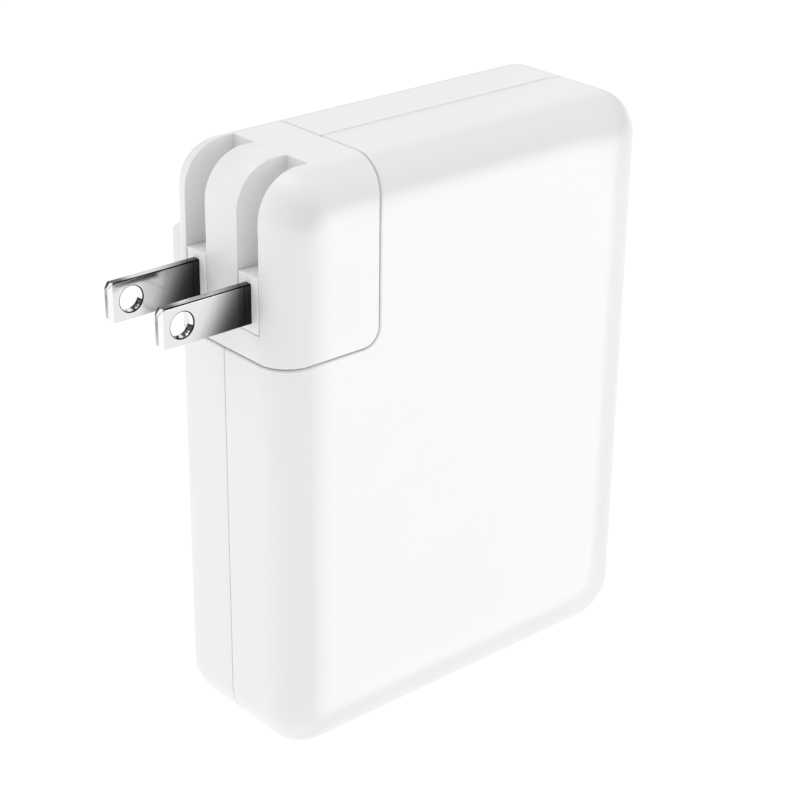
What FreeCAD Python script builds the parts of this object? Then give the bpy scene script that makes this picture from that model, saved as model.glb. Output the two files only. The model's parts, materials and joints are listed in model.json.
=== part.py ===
import FreeCAD, Part
import math
import os

# Laptop power adapter: a tall rounded casing with a plug module in its upper corner. The module
# slides up off the casing, and its two flat blades fold up together into slots.
# Frame: +Z up, -X towards the blades, -Y the front broad face. The origin is the middle of the
# flat bottom. Millimetres throughout.

# ---- casing ---------------------------------------------------------------------------------
WIDTH = 75.5            # plug side to far side, along X
DEPTH = 28.0            # broad face to broad face, along Y
HEIGHT = 97.5           # along Z
CORNER_R = 8.3          # upright corners, seen from the broad face
EDGE_R = 5.4            # round between a broad face and the narrow sides
WALL = 2.2
PARTING_GAP = 0.16      # hairline between the two half shells
TONGUE_T = 0.9          # thickness of the locating tongue along the parting line
TONGUE_H = 1.4          # how far the tongue reaches into the front shell
TONGUE_CLEAR = 0.08

# ---- plug module ----------------------------------------------------------------------------
MODULE_W = 18.7
MODULE_H = 29.2
MODULE_CORNER_R = 7.2   # outer top corner of the module
SEAM_R = 3.0            # inner corner of the seam
SEAM_GAP = 0.25
SEAM_EDGE_R = 0.3       # soft edge along both sides of the seam
MODULE_WALL = 2.0
MODULE_GAP = 0.1        # between pieces that fit together inside the module
SLOT_W = 5.0
SLOT_DEPTH = 9.4
SLOT_FLOOR = 4.5        # slot floor above the module's underside
PAD_LENGTH = 7.0        # thumb pad on the module's back, along X
PAD_HEIGHT = 13.2
PAD_PROUD = 1.5
PAD_FROM_SIDE = 1.8
PAD_FROM_FLOOR = 1.6
PAD_R = 0.7

# ---- blades and their carrier ---------------------------------------------------------------
BLADE_SPACING = 12.7
BLADE_T = 1.5
BLADE_H = 6.35
BLADE_REACH = 16.2      # tip beyond the plug side
BLADE_HOLE_R = 2.0
BLADE_HOLE_FROM_TIP = 3.9
TIP_CHAMFER = 0.7       # length of the chamfer on each broad face of the tip
TIP_CHAMFER_DEPTH = 0.36
TIP_CLIP = 0.85         # 45 degree clip at the tip's corners
PIVOT_R = 3.4           # pivot axis from the plug side and from the hub's underside
HUB_H = 8.9
HUB_GAP = 0.18          # between a hub and the walls of its slot
HUB_FLOOR_GAP = 0.12
BLADE_RISE = 1.14       # blade centre line above the pivot axis
BLADE_ROOT = 1.4        # full-height bar runs this far into the hub
CROSSBAR_R = 2.2
CROSSBAR_CLEAR = 0.3
SWEEP_CLEAR = 0.25      # behind the corner of a turning hub
STUB_R = 1.2
STUB_RIVET_R = 0.8
STUB_REACH = 2.45       # stub axle into the outer rib
STUB_FIT = 0.04         # radial running clearance
STUB_END_GAP = 0.15
EYE_R = 2.1
CONTACT_T = 0.6
CONTACT_FROM_SLOT = 1.3
CONTACT_GAP = 0.08
STRIP_W = 1.6
CRADLE_T = 1.6
SPRING_T = 0.3
SPRING_GAP = 0.05

# ---- docking: two-pin inlet and steel stud ---------------------------------------------------
INLET_FROM_SIDE = 10.4  # centre of the inlet from the plug side
PIN_SPACING = 8.6
PIN_R = 1.18
PIN_TOP_BELOW = 2.5     # pin ends below the recess floor
PIN_TAIL = 2.2
BOSS_X = 7.6            # two-lobed boss under the module
BOSS_Y = 15.6
BOSS_LENGTH = 12.0
BOSS_CLEAR = 0.2
FLANGE_T = 2.4
FLANGE_MARGIN = 1.0
INLET_WALL = 1.2
INLET_BASE = 1.6
SOCKET_FIT = 0.07
SOCKET_T = 0.35
SOCKET_IN = 0.6         # socket mouth above the boss's end
SOCKET_CAP_T = 0.6
STUD_UP = 12.0          # stud centre above the recess floor
STUD_HEAD_R = 4.0
STUD_HEAD_T = 1.2
STUD_NECK_R = 2.3
STUD_NECK_L = 1.4       # neck outside the recess wall
STUD_BACK_T = 1.0
STUD_CLEAR = 0.2
CHANNEL_WALL = 1.0

# ---- output port ------------------------------------------------------------------------------
PORT_L = 8.94           # receptacle outside, long way (along Z)
PORT_W = 3.26
PORT_WALL = 0.3
PORT_DEPTH = 7.4
PORT_MARGIN = 0.25      # casing opening round the receptacle
PORT_SET_BACK = 0.5
TONGUE_L = 6.7
PORT_TONGUE_T = 0.7
PORT_TONGUE_REACH = 5.0
PORT_ROOT = 1.2         # moulded block at the tongue's root
PORT_BOARD = 13.0
PORT_BOARD_T = 1.0

# ---- electronics ------------------------------------------------------------------------------
BOARD_T = 1.6
BOARD_EDGE = 1.0        # board edge from the inside of the walls
BOARD_BACK_ROOM = 2.2   # board's rear face to the inside of the back wall
SHEET_T = 0.3
SPREADER_T = 0.5
SPREADER_EDGE = 4.0
LAYER_GAP = 0.1
LEAD_R = 0.5
LEAD_DROP = 3.0
LEAD_STEP = 2.0
POST_R = 2.0
POST_FROM_EDGE = 12.0
PART_GAP = 1.2          # between neighbouring components
ROW_MARGIN = 2.4        # components from the inside of the walls
BULK_CAN_R = 7.0
BULK_CAN_L = 26.0
BRIDGE = (3.5, 14.0, 13.0)          # width, height, stand-off from the board
SINK = (1.5, 18.0, 15.6)
SWITCH = (4.4, 10.0, 14.7)
SWITCH_UP = 4.0         # switch above the foot of its heat sink
INDUCTOR = (11.0, 11.0, 9.2)
FILM_CAP = (17.0, 7.0, 12.9)
FUSE_R = 2.5
FUSE_L = 10.0
CORE_W = 26.0
CORE_H = 28.0
CORE_YOKE = 4.0
CORE_SIDE = 3.2
PAD_T = 1.5
CHOKE_R = 5.5
CHOKE_WIRE_R = 2.4
OUTPUT_CAN_R = 4.0
OUTPUT_CAN_L = 12.0
CHIP = (7.0, 5.0, 1.6)
ISOLATOR = (6.0, 4.5, 3.2)

LEFT = -WIDTH / 2
RIGHT = WIDTH / 2
FRONT = -DEPTH / 2
BACK = DEPTH / 2
SEAM_X = LEFT + MODULE_W
SEAM_Z = HEIGHT - MODULE_H
FLOOR_Z = SEAM_Z + SLOT_FLOOR
PIVOT_X = LEFT + PIVOT_R
PIVOT_Z = FLOOR_Z + HUB_FLOOR_GAP + PIVOT_R
SLOT_BACK = LEFT + SLOT_DEPTH
RECESS_Z = SEAM_Z - SEAM_GAP
RECESS_X = SEAM_X + SEAM_GAP
INLET_X = LEFT + INLET_FROM_SIDE
STUD_Z = RECESS_Z + STUD_UP
PORT_Z = HEIGHT / 2
BOARD_REAR = BACK - WALL - BOARD_BACK_ROOM
BOARD_FACE = BOARD_REAR - BOARD_T
FILM_FACE = FRONT + WALL + 2 * LAYER_GAP + SPREADER_T + SHEET_T   # inner face of the front film
CORE_STAND = BOARD_FACE - FILM_FACE - LAYER_GAP - PAD_T
CUP_FLOOR = RECESS_Z - BOSS_LENGTH - SEAM_GAP - BOSS_CLEAR
PIN_FOOT = CUP_FLOOR - INLET_BASE - PIN_TAIL
CAVITY_FLOOR = SEAM_Z + FLANGE_T + 0.8
TAB_Z = FLOOR_Z + 0.4   # underside of the contact strips' inward tabs
HUB_SWEEP = math.hypot(PIVOT_R, HUB_H - PIVOT_R) + SWEEP_CLEAR
CHANNEL_BACK = RECESS_X - STUD_NECK_L - STUD_HEAD_T - STUD_CLEAR
SOCKET_POST_X = INLET_X + PIN_R + SOCKET_FIT + SOCKET_T + LEAD_R
SIDES = ((-1, "front"), (1, "back"))
POSTS = (
    (LEFT + POST_FROM_EDGE, POST_FROM_EDGE),
    (RIGHT - POST_FROM_EDGE, POST_FROM_EDGE),
    (RIGHT - POST_FROM_EDGE, HEIGHT - POST_FROM_EDGE),
    (SEAM_X + POST_FROM_EDGE - ROW_MARGIN, HEIGHT - POST_FROM_EDGE),
)
FAR = 200.0             # larger than the whole object

Y_AXIS = FreeCAD.Vector(0, 1, 0)
parts = {}


# ---- shape helpers ----------------------------------------------------------------------------
def vec(x, y, z):
    return FreeCAD.Vector(x, y, z)


def box(x0, y0, z0, x1, y1, z1):
    """Block between two corners."""
    return Part.makeBox(x1 - x0, y1 - y0, z1 - z0, vec(x0, y0, z0))


def rod(radius, start, end):
    """Round bar from start to end."""
    run = end - start
    return Part.makeCylinder(radius, run.Length, start, run)


def rod_y(radius, x, z, y0, y1):
    return rod(radius, vec(x, y0, z), vec(x, y1, z))


def rod_z(radius, x, y, z0, z1):
    return rod(radius, vec(x, y, z0), vec(x, y, z1))


def outline(corners):
    """Closed wire through (point, radius) corners, with an arc of that radius at each."""
    edges = []
    marks = []
    count = len(corners)
    for i, (point, radius) in enumerate(corners):
        if radius <= 0:
            marks.append((point, None, point))
            continue
        to_last = (corners[i - 1][0] - point).normalize()
        to_next = (corners[(i + 1) % count][0] - point).normalize()
        half = to_last.getAngle(to_next) / 2
        middle = (to_last + to_next).normalize()
        reach = radius / math.tan(half)
        centre = point + middle * (radius / math.sin(half))
        marks.append((point + to_last * reach, centre - middle * radius, point + to_next * reach))
    for i, (enter, middle, leave) in enumerate(marks):
        if middle is not None:
            edges.append(Part.Arc(enter, middle, leave).toShape())
        following = marks[(i + 1) % count][0]
        if leave.distanceToPoint(following) > 1e-6:
            edges.append(Part.makeLine(leave, following))
    return Part.Wire(edges)


def slab_y(corners, y0, y1):
    """Plate in the X-Z plane from y0 to y1; corners are (x, z, radius)."""
    wire = outline([(vec(x, y0, z), r) for x, z, r in corners])
    return Part.Face(wire).extrude(vec(0, y1 - y0, 0))


def slab_z(corners, z0, z1):
    """Plate in the X-Y plane from z0 to z1; corners are (x, y, radius)."""
    wire = outline([(vec(x, y, z0), r) for x, y, r in corners])
    return Part.Face(wire).extrude(vec(0, 0, z1 - z0))


def slab_x(corners, x0, x1):
    """Plate in the Y-Z plane from x0 to x1; corners are (y, z, radius)."""
    wire = outline([(vec(x0, y, z), r) for y, z, r in corners])
    return Part.Face(wire).extrude(vec(x1 - x0, 0, 0))


def rounded(a0, b0, a1, b1, radius):
    """Corner list of a rectangle with one radius all round."""
    return [(a0, b0, radius), (a1, b0, radius), (a1, b1, radius), (a0, b1, radius)]


def joined(shapes):
    first = shapes[0]
    return first.fuse(shapes[1:]).removeSplitter() if len(shapes) > 1 else first


def keep(name, shape):
    """File a finished piece under its node name."""
    if len(shape.Solids) == 1:
        shape = shape.Solids[0]
    parts[name] = shape


def on_seam(edge, gap):
    """True for an edge where the outer skin meets the seam, `gap` outside the module."""
    seam_x = SEAM_X + gap
    seam_z = SEAM_Z - gap
    radius = SEAM_R + gap
    first, last = edge.ParameterRange
    spots = [edge.valueAt(first + (last - first) * share) for share in (0.02, 0.35, 0.7, 0.98)]
    along_y = max(abs(p.x - spots[0].x) + abs(p.z - spots[0].z) for p in spots) < 1e-4
    top_end = abs(spots[0].z - HEIGHT) < 1e-3
    side_end = abs(spots[0].x - LEFT) < 1e-3
    if along_y and not top_end and not side_end:
        return False
    for p in spots:
        centre_x = seam_x - radius
        centre_z = seam_z + radius
        on_wall = abs(p.x - seam_x) < 1e-3 and p.z > centre_z - 1e-3
        on_floor = abs(p.z - seam_z) < 1e-3 and p.x < centre_x + 1e-3
        away = math.hypot(p.x - centre_x, p.z - centre_z)
        on_round = abs(away - radius) < 1e-3 and p.x > centre_x and p.z < centre_z
        if not (on_wall or on_floor or on_round):
            return False
    return True


# ---- outside form -----------------------------------------------------------------------------
def envelope(inset):
    """The adapter's whole outside form, drawn in by inset on every side."""
    corner = CORNER_R - inset
    edge = EDGE_R - inset
    body = slab_y(
        [
            (LEFT + inset, inset, corner),
            (RIGHT - inset, inset, corner),
            (RIGHT - inset, HEIGHT - inset, corner),
            (LEFT + inset, HEIGHT - inset, MODULE_CORNER_R - inset),
        ],
        FRONT + inset,
        BACK - inset,
    )
    rims = [e for e in body.Edges if e.BoundBox.YLength < 1e-6]
    return body.makeFillet(edge, rims)


def module_corner(grow):
    """The corner of space that the plug module takes, larger by grow."""
    return slab_y(
        [
            (LEFT - FAR, SEAM_Z - grow, 0),
            (SEAM_X + grow, SEAM_Z - grow, SEAM_R + grow),
            (SEAM_X + grow, HEIGHT + FAR, 0),
            (LEFT - FAR, HEIGHT + FAR, 0),
        ],
        -FAR,
        FAR,
    )


def inside(inset):
    """The room in the casing, inset from its outside and from the module's recess."""
    return envelope(inset).cut(module_corner(SEAM_GAP + inset))


def layer(inset, y0, y1):
    """Flat sheet that follows the casing's outline, from y0 to y1."""
    band = box(-FAR, y0, -FAR, FAR, y1, FAR)
    flat = slab_y(
        [
            (LEFT + inset, inset, max(CORNER_R - inset, 1.0)),
            (RIGHT - inset, inset, max(CORNER_R - inset, 1.0)),
            (RIGHT - inset, HEIGHT - inset, max(CORNER_R - inset, 1.0)),
            (LEFT + inset, HEIGHT - inset, 0),
        ],
        -FAR,
        FAR,
    )
    return flat.cut(module_corner(SEAM_GAP + inset)).common(band)


def two_lobes(x, grow, z0, z1):
    """Two-lobed bar for the docking inlet, larger by grow."""
    radius = BOSS_X / 2 + grow
    half = BOSS_Y / 2 - BOSS_X / 2
    lobes = [rod_z(radius, x, s * half, z0, z1) for s in (-1, 1)]
    waist = box(x - radius * 0.8, -half, z0, x + radius * 0.8, half, z1)
    return joined(lobes + [waist])


# ---- casing -----------------------------------------------------------------------------------
def port_hole(grow, x0, x1):
    """Round-ended bar of the output receptacle's size, larger by grow."""
    half_w = PORT_W / 2 + grow
    half_l = PORT_L / 2 + grow
    corners = rounded(-half_w, PORT_Z - half_l, half_w, PORT_Z + half_l, half_w - 0.01)
    return slab_x(corners, x0, x1)


def make_casing():
    """Two half shells that meet along the middle of the narrow sides."""
    outer = envelope(0).cut(module_corner(SEAM_GAP))
    outer = outer.makeFillet(SEAM_EDGE_R, [e for e in outer.Edges if on_seam(e, SEAM_GAP)])
    inlet_way = two_lobes(INLET_X, BOSS_CLEAR + INLET_WALL, RECESS_Z - 2 * WALL, RECESS_Z + WALL)
    stud_start = vec(RECESS_X - WALL, 0, STUD_Z)
    stud_way = rod(STUD_NECK_R, stud_start, stud_start + vec(3 * WALL, 0, 0))
    port_way = port_hole(PORT_MARGIN, RIGHT - 2 * WALL, RIGHT + WALL)
    openings = inlet_way.fuse([stud_way, port_way])
    shell = outer.cut(inside(WALL)).cut(openings)

    front_half = box(-FAR, -FAR, -FAR, FAR, -PARTING_GAP / 2, FAR)
    back_half = box(-FAR, PARTING_GAP / 2, -FAR, FAR, FAR, FAR)
    tongue_out = WALL - TONGUE_T
    room = layer(WALL, -FAR, FAR)
    tongue = layer(tongue_out, -TONGUE_H, PARTING_GAP).cut(room)
    groove = layer(tongue_out - TONGUE_CLEAR, -TONGUE_H - TONGUE_CLEAR, FAR).cut(room)
    front = shell.common(front_half).cut(groove)
    back = shell.common(back_half).fuse(tongue.cut(openings))
    back = back.fuse([rod_y(POST_R, x, z, BOARD_REAR, BACK - WALL) for x, z in POSTS])
    keep("front_shell", front)
    keep("back_shell", back.removeSplitter())


# ---- docking parts in the casing -----------------------------------------------------------------
def make_docking():
    """Two-pin inlet under the recess floor, and the headed stud on the recess wall."""
    cup = two_lobes(INLET_X, BOSS_CLEAR + INLET_WALL, CUP_FLOOR - INLET_BASE, RECESS_Z)
    cup = cup.cut(two_lobes(INLET_X, BOSS_CLEAR, CUP_FLOOR, RECESS_Z + WALL))
    pin_top = RECESS_Z - PIN_TOP_BELOW
    for side, name in SIDES:
        y = side * PIN_SPACING / 2
        pin = rod_z(PIN_R, INLET_X, y, PIN_FOOT, pin_top)
        tip = [e for e in pin.Edges if e.BoundBox.ZMin > pin_top - 1e-6]
        cup = cup.cut(rod_z(PIN_R, INLET_X, y, PIN_FOOT, RECESS_Z))
        keep("inlet_pin_" + name, pin.makeFillet(PIN_R * 0.6, tip))
    keep("ac_inlet", cup)

    steps = (
        (STUD_HEAD_R, -STUD_NECK_L - STUD_HEAD_T, -STUD_NECK_L),
        (STUD_NECK_R, -STUD_NECK_L, WALL),
        (STUD_HEAD_R, WALL, WALL + STUD_BACK_T),
    )
    rods = [rod(r, vec(RECESS_X + x0, 0, STUD_Z), vec(RECESS_X + x1, 0, STUD_Z)) for r, x0, x1 in steps]
    keep("docking_stud", joined(rods))


# ---- plug module ----------------------------------------------------------------------------------
def between(a, b):
    """The two values in rising order."""
    return min(a, b), max(a, b)


def thumb_pad():
    """Raised pad on the module's back."""
    x0 = LEFT + PAD_FROM_SIDE
    z0 = SEAM_Z + PAD_FROM_FLOOR
    corners = rounded(x0, z0, x0 + PAD_LENGTH, z0 + PAD_HEIGHT, 2 * PAD_R)
    pad = slab_y(corners, BACK - EDGE_R / 2, BACK + PAD_PROUD)
    crest = [e for e in pad.Edges if e.BoundBox.YMin > BACK + PAD_PROUD - 1e-6]
    return pad.makeFillet(PAD_R, crest)


def flange_plate(grow, z0, z1):
    """Flange of the inlet plug, larger by grow."""
    x0 = INLET_X - BOSS_X / 2 - FLANGE_MARGIN - grow
    x1 = CHANNEL_BACK - CHANNEL_WALL - 3 * MODULE_GAP / 2 + grow
    y1 = BOSS_Y / 2 + FLANGE_MARGIN + grow
    return slab_z(rounded(x0, -y1, x1, y1, 1.0), z0, z1)


def make_plug_shell():
    """The module's white outside, with both blade slots open to the top and to the plug side."""
    outer = envelope(0).common(module_corner(0))
    outer = outer.makeFillet(SEAM_EDGE_R, [e for e in outer.Edges if on_seam(e, 0)])
    shell = outer.fuse(thumb_pad()).removeSplitter()

    cavity_y = BACK - MODULE_WALL
    cavity = rounded(-cavity_y, CAVITY_FLOOR, cavity_y, HEIGHT - MODULE_WALL, EDGE_R - MODULE_WALL)
    cuts = [slab_x(cavity, SLOT_BACK, SEAM_X + 1)]
    slot_end = SLOT_BACK + 0.01
    for side, _ in SIDES:
        y = side * BLADE_SPACING / 2
        cuts.append(box(LEFT - 1, y - SLOT_W / 2, FLOOR_Z, slot_end, y + SLOT_W / 2, HEIGHT + 1))
        reach = y + side * (SLOT_W / 2 + STUB_REACH + STUB_END_GAP)
        cuts.append(rod_y(STUB_R + STUB_FIT, PIVOT_X, PIVOT_Z, *between(y, reach)))
        near = y + side * (SLOT_W / 2 + CONTACT_FROM_SLOT - CONTACT_GAP)
        y0, y1 = between(near, near + side * (CONTACT_T + 2 * CONTACT_GAP))
        eye = EYE_R + CONTACT_GAP
        cuts.append(rod_y(eye, PIVOT_X, PIVOT_Z, y0, y1))
        cuts.append(box(PIVOT_X, y0, PIVOT_Z - eye, slot_end, y1, PIVOT_Z + eye))
        post = rod_z(LEAD_R + 0.3, SOCKET_POST_X, side * PIN_SPACING / 2, SEAM_Z, CAVITY_FLOOR + 1)
        cuts.append(post)
    tunnel = CROSSBAR_R + CROSSBAR_CLEAR
    rib = BLADE_SPACING / 2 - SLOT_W / 2 + 0.01
    cuts.append(rod_y(tunnel, PIVOT_X, PIVOT_Z, -rib, rib))
    cuts.append(box(PIVOT_X, -rib, PIVOT_Z - tunnel, slot_end, rib, PIVOT_Z + tunnel))
    # seat for the inlet plug's flange, and the mouth of the stud's channel
    cuts.append(flange_plate(MODULE_GAP / 2, SEAM_Z - 1, SEAM_Z + FLANGE_T + MODULE_GAP / 2))
    mouth = STUD_HEAD_R + STUD_CLEAR + CHANNEL_WALL
    mouth_x = CHANNEL_BACK - CHANNEL_WALL
    cuts.append(box(mouth_x, -mouth, SEAM_Z - 1, SEAM_X + 1, mouth, CAVITY_FLOOR + 1))
    for cutter in cuts:
        shell = shell.cut(cutter)
    keep("plug_shell", shell)


def make_inlet_plug():
    """Boss that enters the casing's inlet, and the two brass sockets moulded into it."""
    low = SEAM_Z - BOSS_LENGTH
    cap_z = SEAM_Z + FLANGE_T
    socket_end = cap_z - SOCKET_CAP_T
    boss = two_lobes(INLET_X, 0, low, cap_z).fuse(flange_plate(0, SEAM_Z, cap_z)).removeSplitter()
    bore = PIN_R + SOCKET_FIT
    for side, name in SIDES:
        y = side * PIN_SPACING / 2
        tube = rod_z(bore + SOCKET_T, INLET_X, y, low + SOCKET_IN, cap_z)
        tube = tube.cut(rod_z(bore, INLET_X, y, low, socket_end))
        post = rod_z(LEAD_R, SOCKET_POST_X, y, socket_end, TAB_Z)
        bridge = box(INLET_X, y - LEAD_R, socket_end, SOCKET_POST_X, y + LEAD_R, cap_z)
        socket = joined([tube, post, bridge])
        filled = rod_z(bore + SOCKET_T, INLET_X, y, low + SOCKET_IN, cap_z)
        boss = boss.cut(filled).cut(socket).cut(rod_z(bore + 0.05, INLET_X, y, low - 1, cap_z))
        keep("socket_contact_" + name, socket)
    keep("inlet_plug", boss)


def make_blade_cradle():
    """Frame that closes the backs of the slots and backs the crossbar's spring."""
    half = BLADE_SPACING / 2 + SLOT_W / 2 + 1.0
    top = HEIGHT - MODULE_WALL - MODULE_GAP
    plate = [(-half, FLOOR_Z, 0), (half, FLOOR_Z, 0), (half, top, 1.5), (-half, top, 1.5)]
    cradle = slab_x(plate, SLOT_BACK, SLOT_BACK + CRADLE_T)
    spring_x = PIVOT_X + CROSSBAR_R + SPRING_GAP
    rib = BLADE_SPACING / 2 - SLOT_W / 2 - MODULE_GAP / 2
    tunnel = CROSSBAR_R + CROSSBAR_CLEAR - MODULE_GAP / 2
    saddle = box(spring_x + SPRING_T, -rib, PIVOT_Z - tunnel, SLOT_BACK, rib, PIVOT_Z + tunnel)
    cradle = cradle.fuse(saddle).removeSplitter()
    for side, _ in SIDES:
        y = side * BLADE_SPACING / 2
        cradle = cradle.cut(rod_y(HUB_SWEEP, PIVOT_X, PIVOT_Z, y - SLOT_W / 2, y + SLOT_W / 2))
    keep("blade_cradle", cradle)
    spring_y = rib - CROSSBAR_CLEAR
    spring_z = tunnel - 2 * CROSSBAR_CLEAR
    spring = box(
        spring_x, -spring_y, PIVOT_Z - spring_z, spring_x + SPRING_T, spring_y, PIVOT_Z + spring_z
    )
    keep("detent_spring", spring)


def make_inner_cover():
    """Cover over the module's inner side, with the undercut channel for the stud."""
    side_y = BACK - MODULE_WALL - MODULE_GAP
    top = HEIGHT - MODULE_WALL - MODULE_GAP
    face_x = SEAM_X - SEAM_EDGE_R
    corners = rounded(-side_y, CAVITY_FLOOR + MODULE_GAP, side_y, top, EDGE_R - MODULE_WALL)
    cover = slab_x(corners, SEAM_X - MODULE_WALL, face_x)
    head = STUD_HEAD_R + STUD_CLEAR
    neck = STUD_NECK_R + STUD_CLEAR
    half = head + CHANNEL_WALL - MODULE_GAP
    block_x = CHANNEL_BACK - CHANNEL_WALL + MODULE_GAP
    block = box(block_x, -half, SEAM_Z, face_x, half, STUD_Z + head + CHANNEL_WALL)
    cover = cover.fuse(block).removeSplitter().common(module_corner(0))
    head_x1 = RECESS_X - STUD_NECK_L + STUD_CLEAR
    for radius, x1 in ((head, head_x1), (neck, SEAM_X + 1)):
        cover = cover.cut(rod(radius, vec(CHANNEL_BACK, 0, STUD_Z), vec(x1, 0, STUD_Z)))
        cover = cover.cut(box(CHANNEL_BACK, -radius, SEAM_Z - 1, x1, radius, STUD_Z))
    keep("plug_inner_cover", cover)


def make_blade_contacts():
    """Brass strip from each stub axle to the post of its socket."""
    end_x = SOCKET_POST_X + LEAD_R + 0.3
    strip_half = 1.0
    leg_x = end_x - STRIP_W
    for side, name in SIDES:
        near = side * (BLADE_SPACING / 2 + SLOT_W / 2 + CONTACT_FROM_SLOT)
        off = near + side * CONTACT_T
        y0, y1 = between(near, off)
        arm = box(PIVOT_X, y0, PIVOT_Z - strip_half, end_x, y1, PIVOT_Z + strip_half)
        leg = box(leg_x, y0, TAB_Z, end_x, y1, PIVOT_Z + strip_half)
        tab_y0, tab_y1 = between(side * (PIN_SPACING / 2 - LEAD_R), off)
        tab = box(leg_x, tab_y0, TAB_Z, end_x, tab_y1, TAB_Z + CONTACT_T)
        strip = joined([rod_y(EYE_R, PIVOT_X, PIVOT_Z, y0, y1), arm, leg, tab])
        strip = strip.cut(rod_y(STUB_R + STUB_FIT, PIVOT_X, PIVOT_Z, y0 - 1, y1 + 1))
        keep("blade_contact_" + name, strip)


# ---- blades ------------------------------------------------------------------------------------------
def tip_wedge(tip, face, side, low):
    """What the chamfer takes off one broad face of a blade's tip."""
    out = side * 0.001
    corners = [
        vec(tip - 0.001, face + out, low - 1),
        vec(tip + TIP_CHAMFER, face + out, low - 1),
        vec(tip - 0.001, face - side * TIP_CHAMFER_DEPTH, low - 1),
    ]
    return Part.Face(Part.makePolygon(corners + corners[:1])).extrude(vec(0, 0, BLADE_H + 2))


def blade_solid(y):
    """One blade: flat bar with a clipped, chamfered tip, a lock hole and a tail round the pivot."""
    tip = LEFT - BLADE_REACH
    middle = PIVOT_Z + BLADE_RISE
    low = middle - BLADE_H / 2
    high = middle + BLADE_H / 2
    root = LEFT + BLADE_ROOT
    y0 = y - BLADE_T / 2
    y1 = y + BLADE_T / 2
    profile = [
        (tip, low + TIP_CLIP, 0),
        (tip + TIP_CLIP, low, 0),
        (root, low, 0),
        (root, high, 0),
        (tip + TIP_CLIP, high, 0),
        (tip, high - TIP_CLIP, 0),
    ]
    neck = box(root - 0.2, y0, PIVOT_Z - EYE_R, PIVOT_X, y1, PIVOT_Z + EYE_R)
    blade = joined([slab_y(profile, y0, y1), rod_y(EYE_R, PIVOT_X, PIVOT_Z, y0, y1), neck])
    for side, face in ((-1, y0), (1, y1)):
        blade = blade.cut(tip_wedge(tip, face, side, low))
    blade = blade.cut(rod_y(BLADE_HOLE_R, tip + BLADE_HOLE_FROM_TIP, middle, y0 - 1, y1 + 1))
    return blade.cut(rod_y(STUB_RIVET_R, PIVOT_X, PIVOT_Z, y0 - 1, y1 + 1))


def stub_axle(y, side):
    """Stepped brass axle riveted into a blade's tail and turning in the outer rib."""
    shoulder = y + side * BLADE_T / 2
    rivet = between(y - side * BLADE_T / 2, shoulder)
    barrel = between(shoulder, y + side * (SLOT_W / 2 + STUB_REACH))
    return joined(
        [rod_y(STUB_RIVET_R, PIVOT_X, PIVOT_Z, *rivet), rod_y(STUB_R, PIVOT_X, PIVOT_Z, *barrel)]
    )


def make_blades():
    """Both blades with their axles, and the moulded carrier that makes them fold together."""
    hub_z0 = PIVOT_Z - PIVOT_R
    hub_z1 = hub_z0 + HUB_H
    hub_x1 = PIVOT_X + PIVOT_R
    hub_half = SLOT_W / 2 - HUB_GAP
    span = BLADE_SPACING / 2
    carrier = rod_y(CROSSBAR_R, PIVOT_X, PIVOT_Z, -span, span)
    profile = [
        (LEFT, hub_z0, 0),
        (hub_x1, hub_z0, PIVOT_R - 0.001),
        (hub_x1, hub_z1, 0.4),
        (LEFT, hub_z1, 0),
    ]
    carrier = carrier.fuse([slab_y(profile, s * span - hub_half, s * span + hub_half) for s, _ in SIDES])
    carrier = carrier.removeSplitter()
    for side, name in SIDES:
        blade = blade_solid(side * span)
        stub = stub_axle(side * span, side)
        carrier = carrier.cut(blade).cut(stub)
        keep("blade_" + name, blade)
        keep("stub_axle_" + name, stub)
    keep("blade_carrier", carrier)


# ---- output port ---------------------------------------------------------------------------------------
def make_port():
    """Round-ended receptacle on its own small board, joined to the main board by a header."""
    face = RIGHT - PORT_SET_BACK
    back = face - PORT_DEPTH
    floor = back + PORT_WALL
    can = port_hole(0, back, face).cut(port_hole(-PORT_WALL, floor, face + 1))
    keep("port_can", can)
    half_l = TONGUE_L / 2
    half_t = PORT_TONGUE_T / 2
    blade = box(floor, -half_t, PORT_Z - half_l, floor + PORT_TONGUE_REACH, half_t, PORT_Z + half_l)
    keep("port_tongue", joined([port_hole(-PORT_WALL, floor, floor + PORT_ROOT), blade]))
    y0 = PORT_W / 2
    y1 = y0 + PORT_BOARD_T
    half = PORT_BOARD / 2
    x1 = RIGHT - WALL - SEAM_GAP
    x0 = x1 - PORT_BOARD
    keep("port_board", box(x0, y0, PORT_Z - half, x1, y1, PORT_Z + half))
    header = box(x0 + 0.5, y1, PORT_Z - half + 1.5, x0 + 3, BOARD_FACE, PORT_Z + half - 1.5)
    keep("port_header", header)


# ---- electronics ------------------------------------------------------------------------------------------
def on_board(x, z, size):
    """Block of (width, height, stand-off) on the board's front face, from its lower left corner."""
    width, height, stand = size
    return box(x, BOARD_FACE - stand, z, x + width, BOARD_FACE, z + height)


def make_leads():
    """Bent wire from each inlet pin to the board."""
    for side, name in SIDES:
        y = side * PIN_SPACING / 2
        elbow = vec(INLET_X - side * LEAD_STEP, y, PIN_FOOT - LEAD_DROP)
        start = rod(LEAD_R, vec(INLET_X, y, PIN_FOOT), elbow)
        run = rod(LEAD_R, elbow, vec(elbow.x, BOARD_FACE, elbow.z))
        lead = joined([start, Part.makeSphere(LEAD_R, elbow), run])
        keep("inlet_lead_" + name, lead.cut(box(-FAR, -FAR, PIN_FOOT, FAR, FAR, FAR)))


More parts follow.
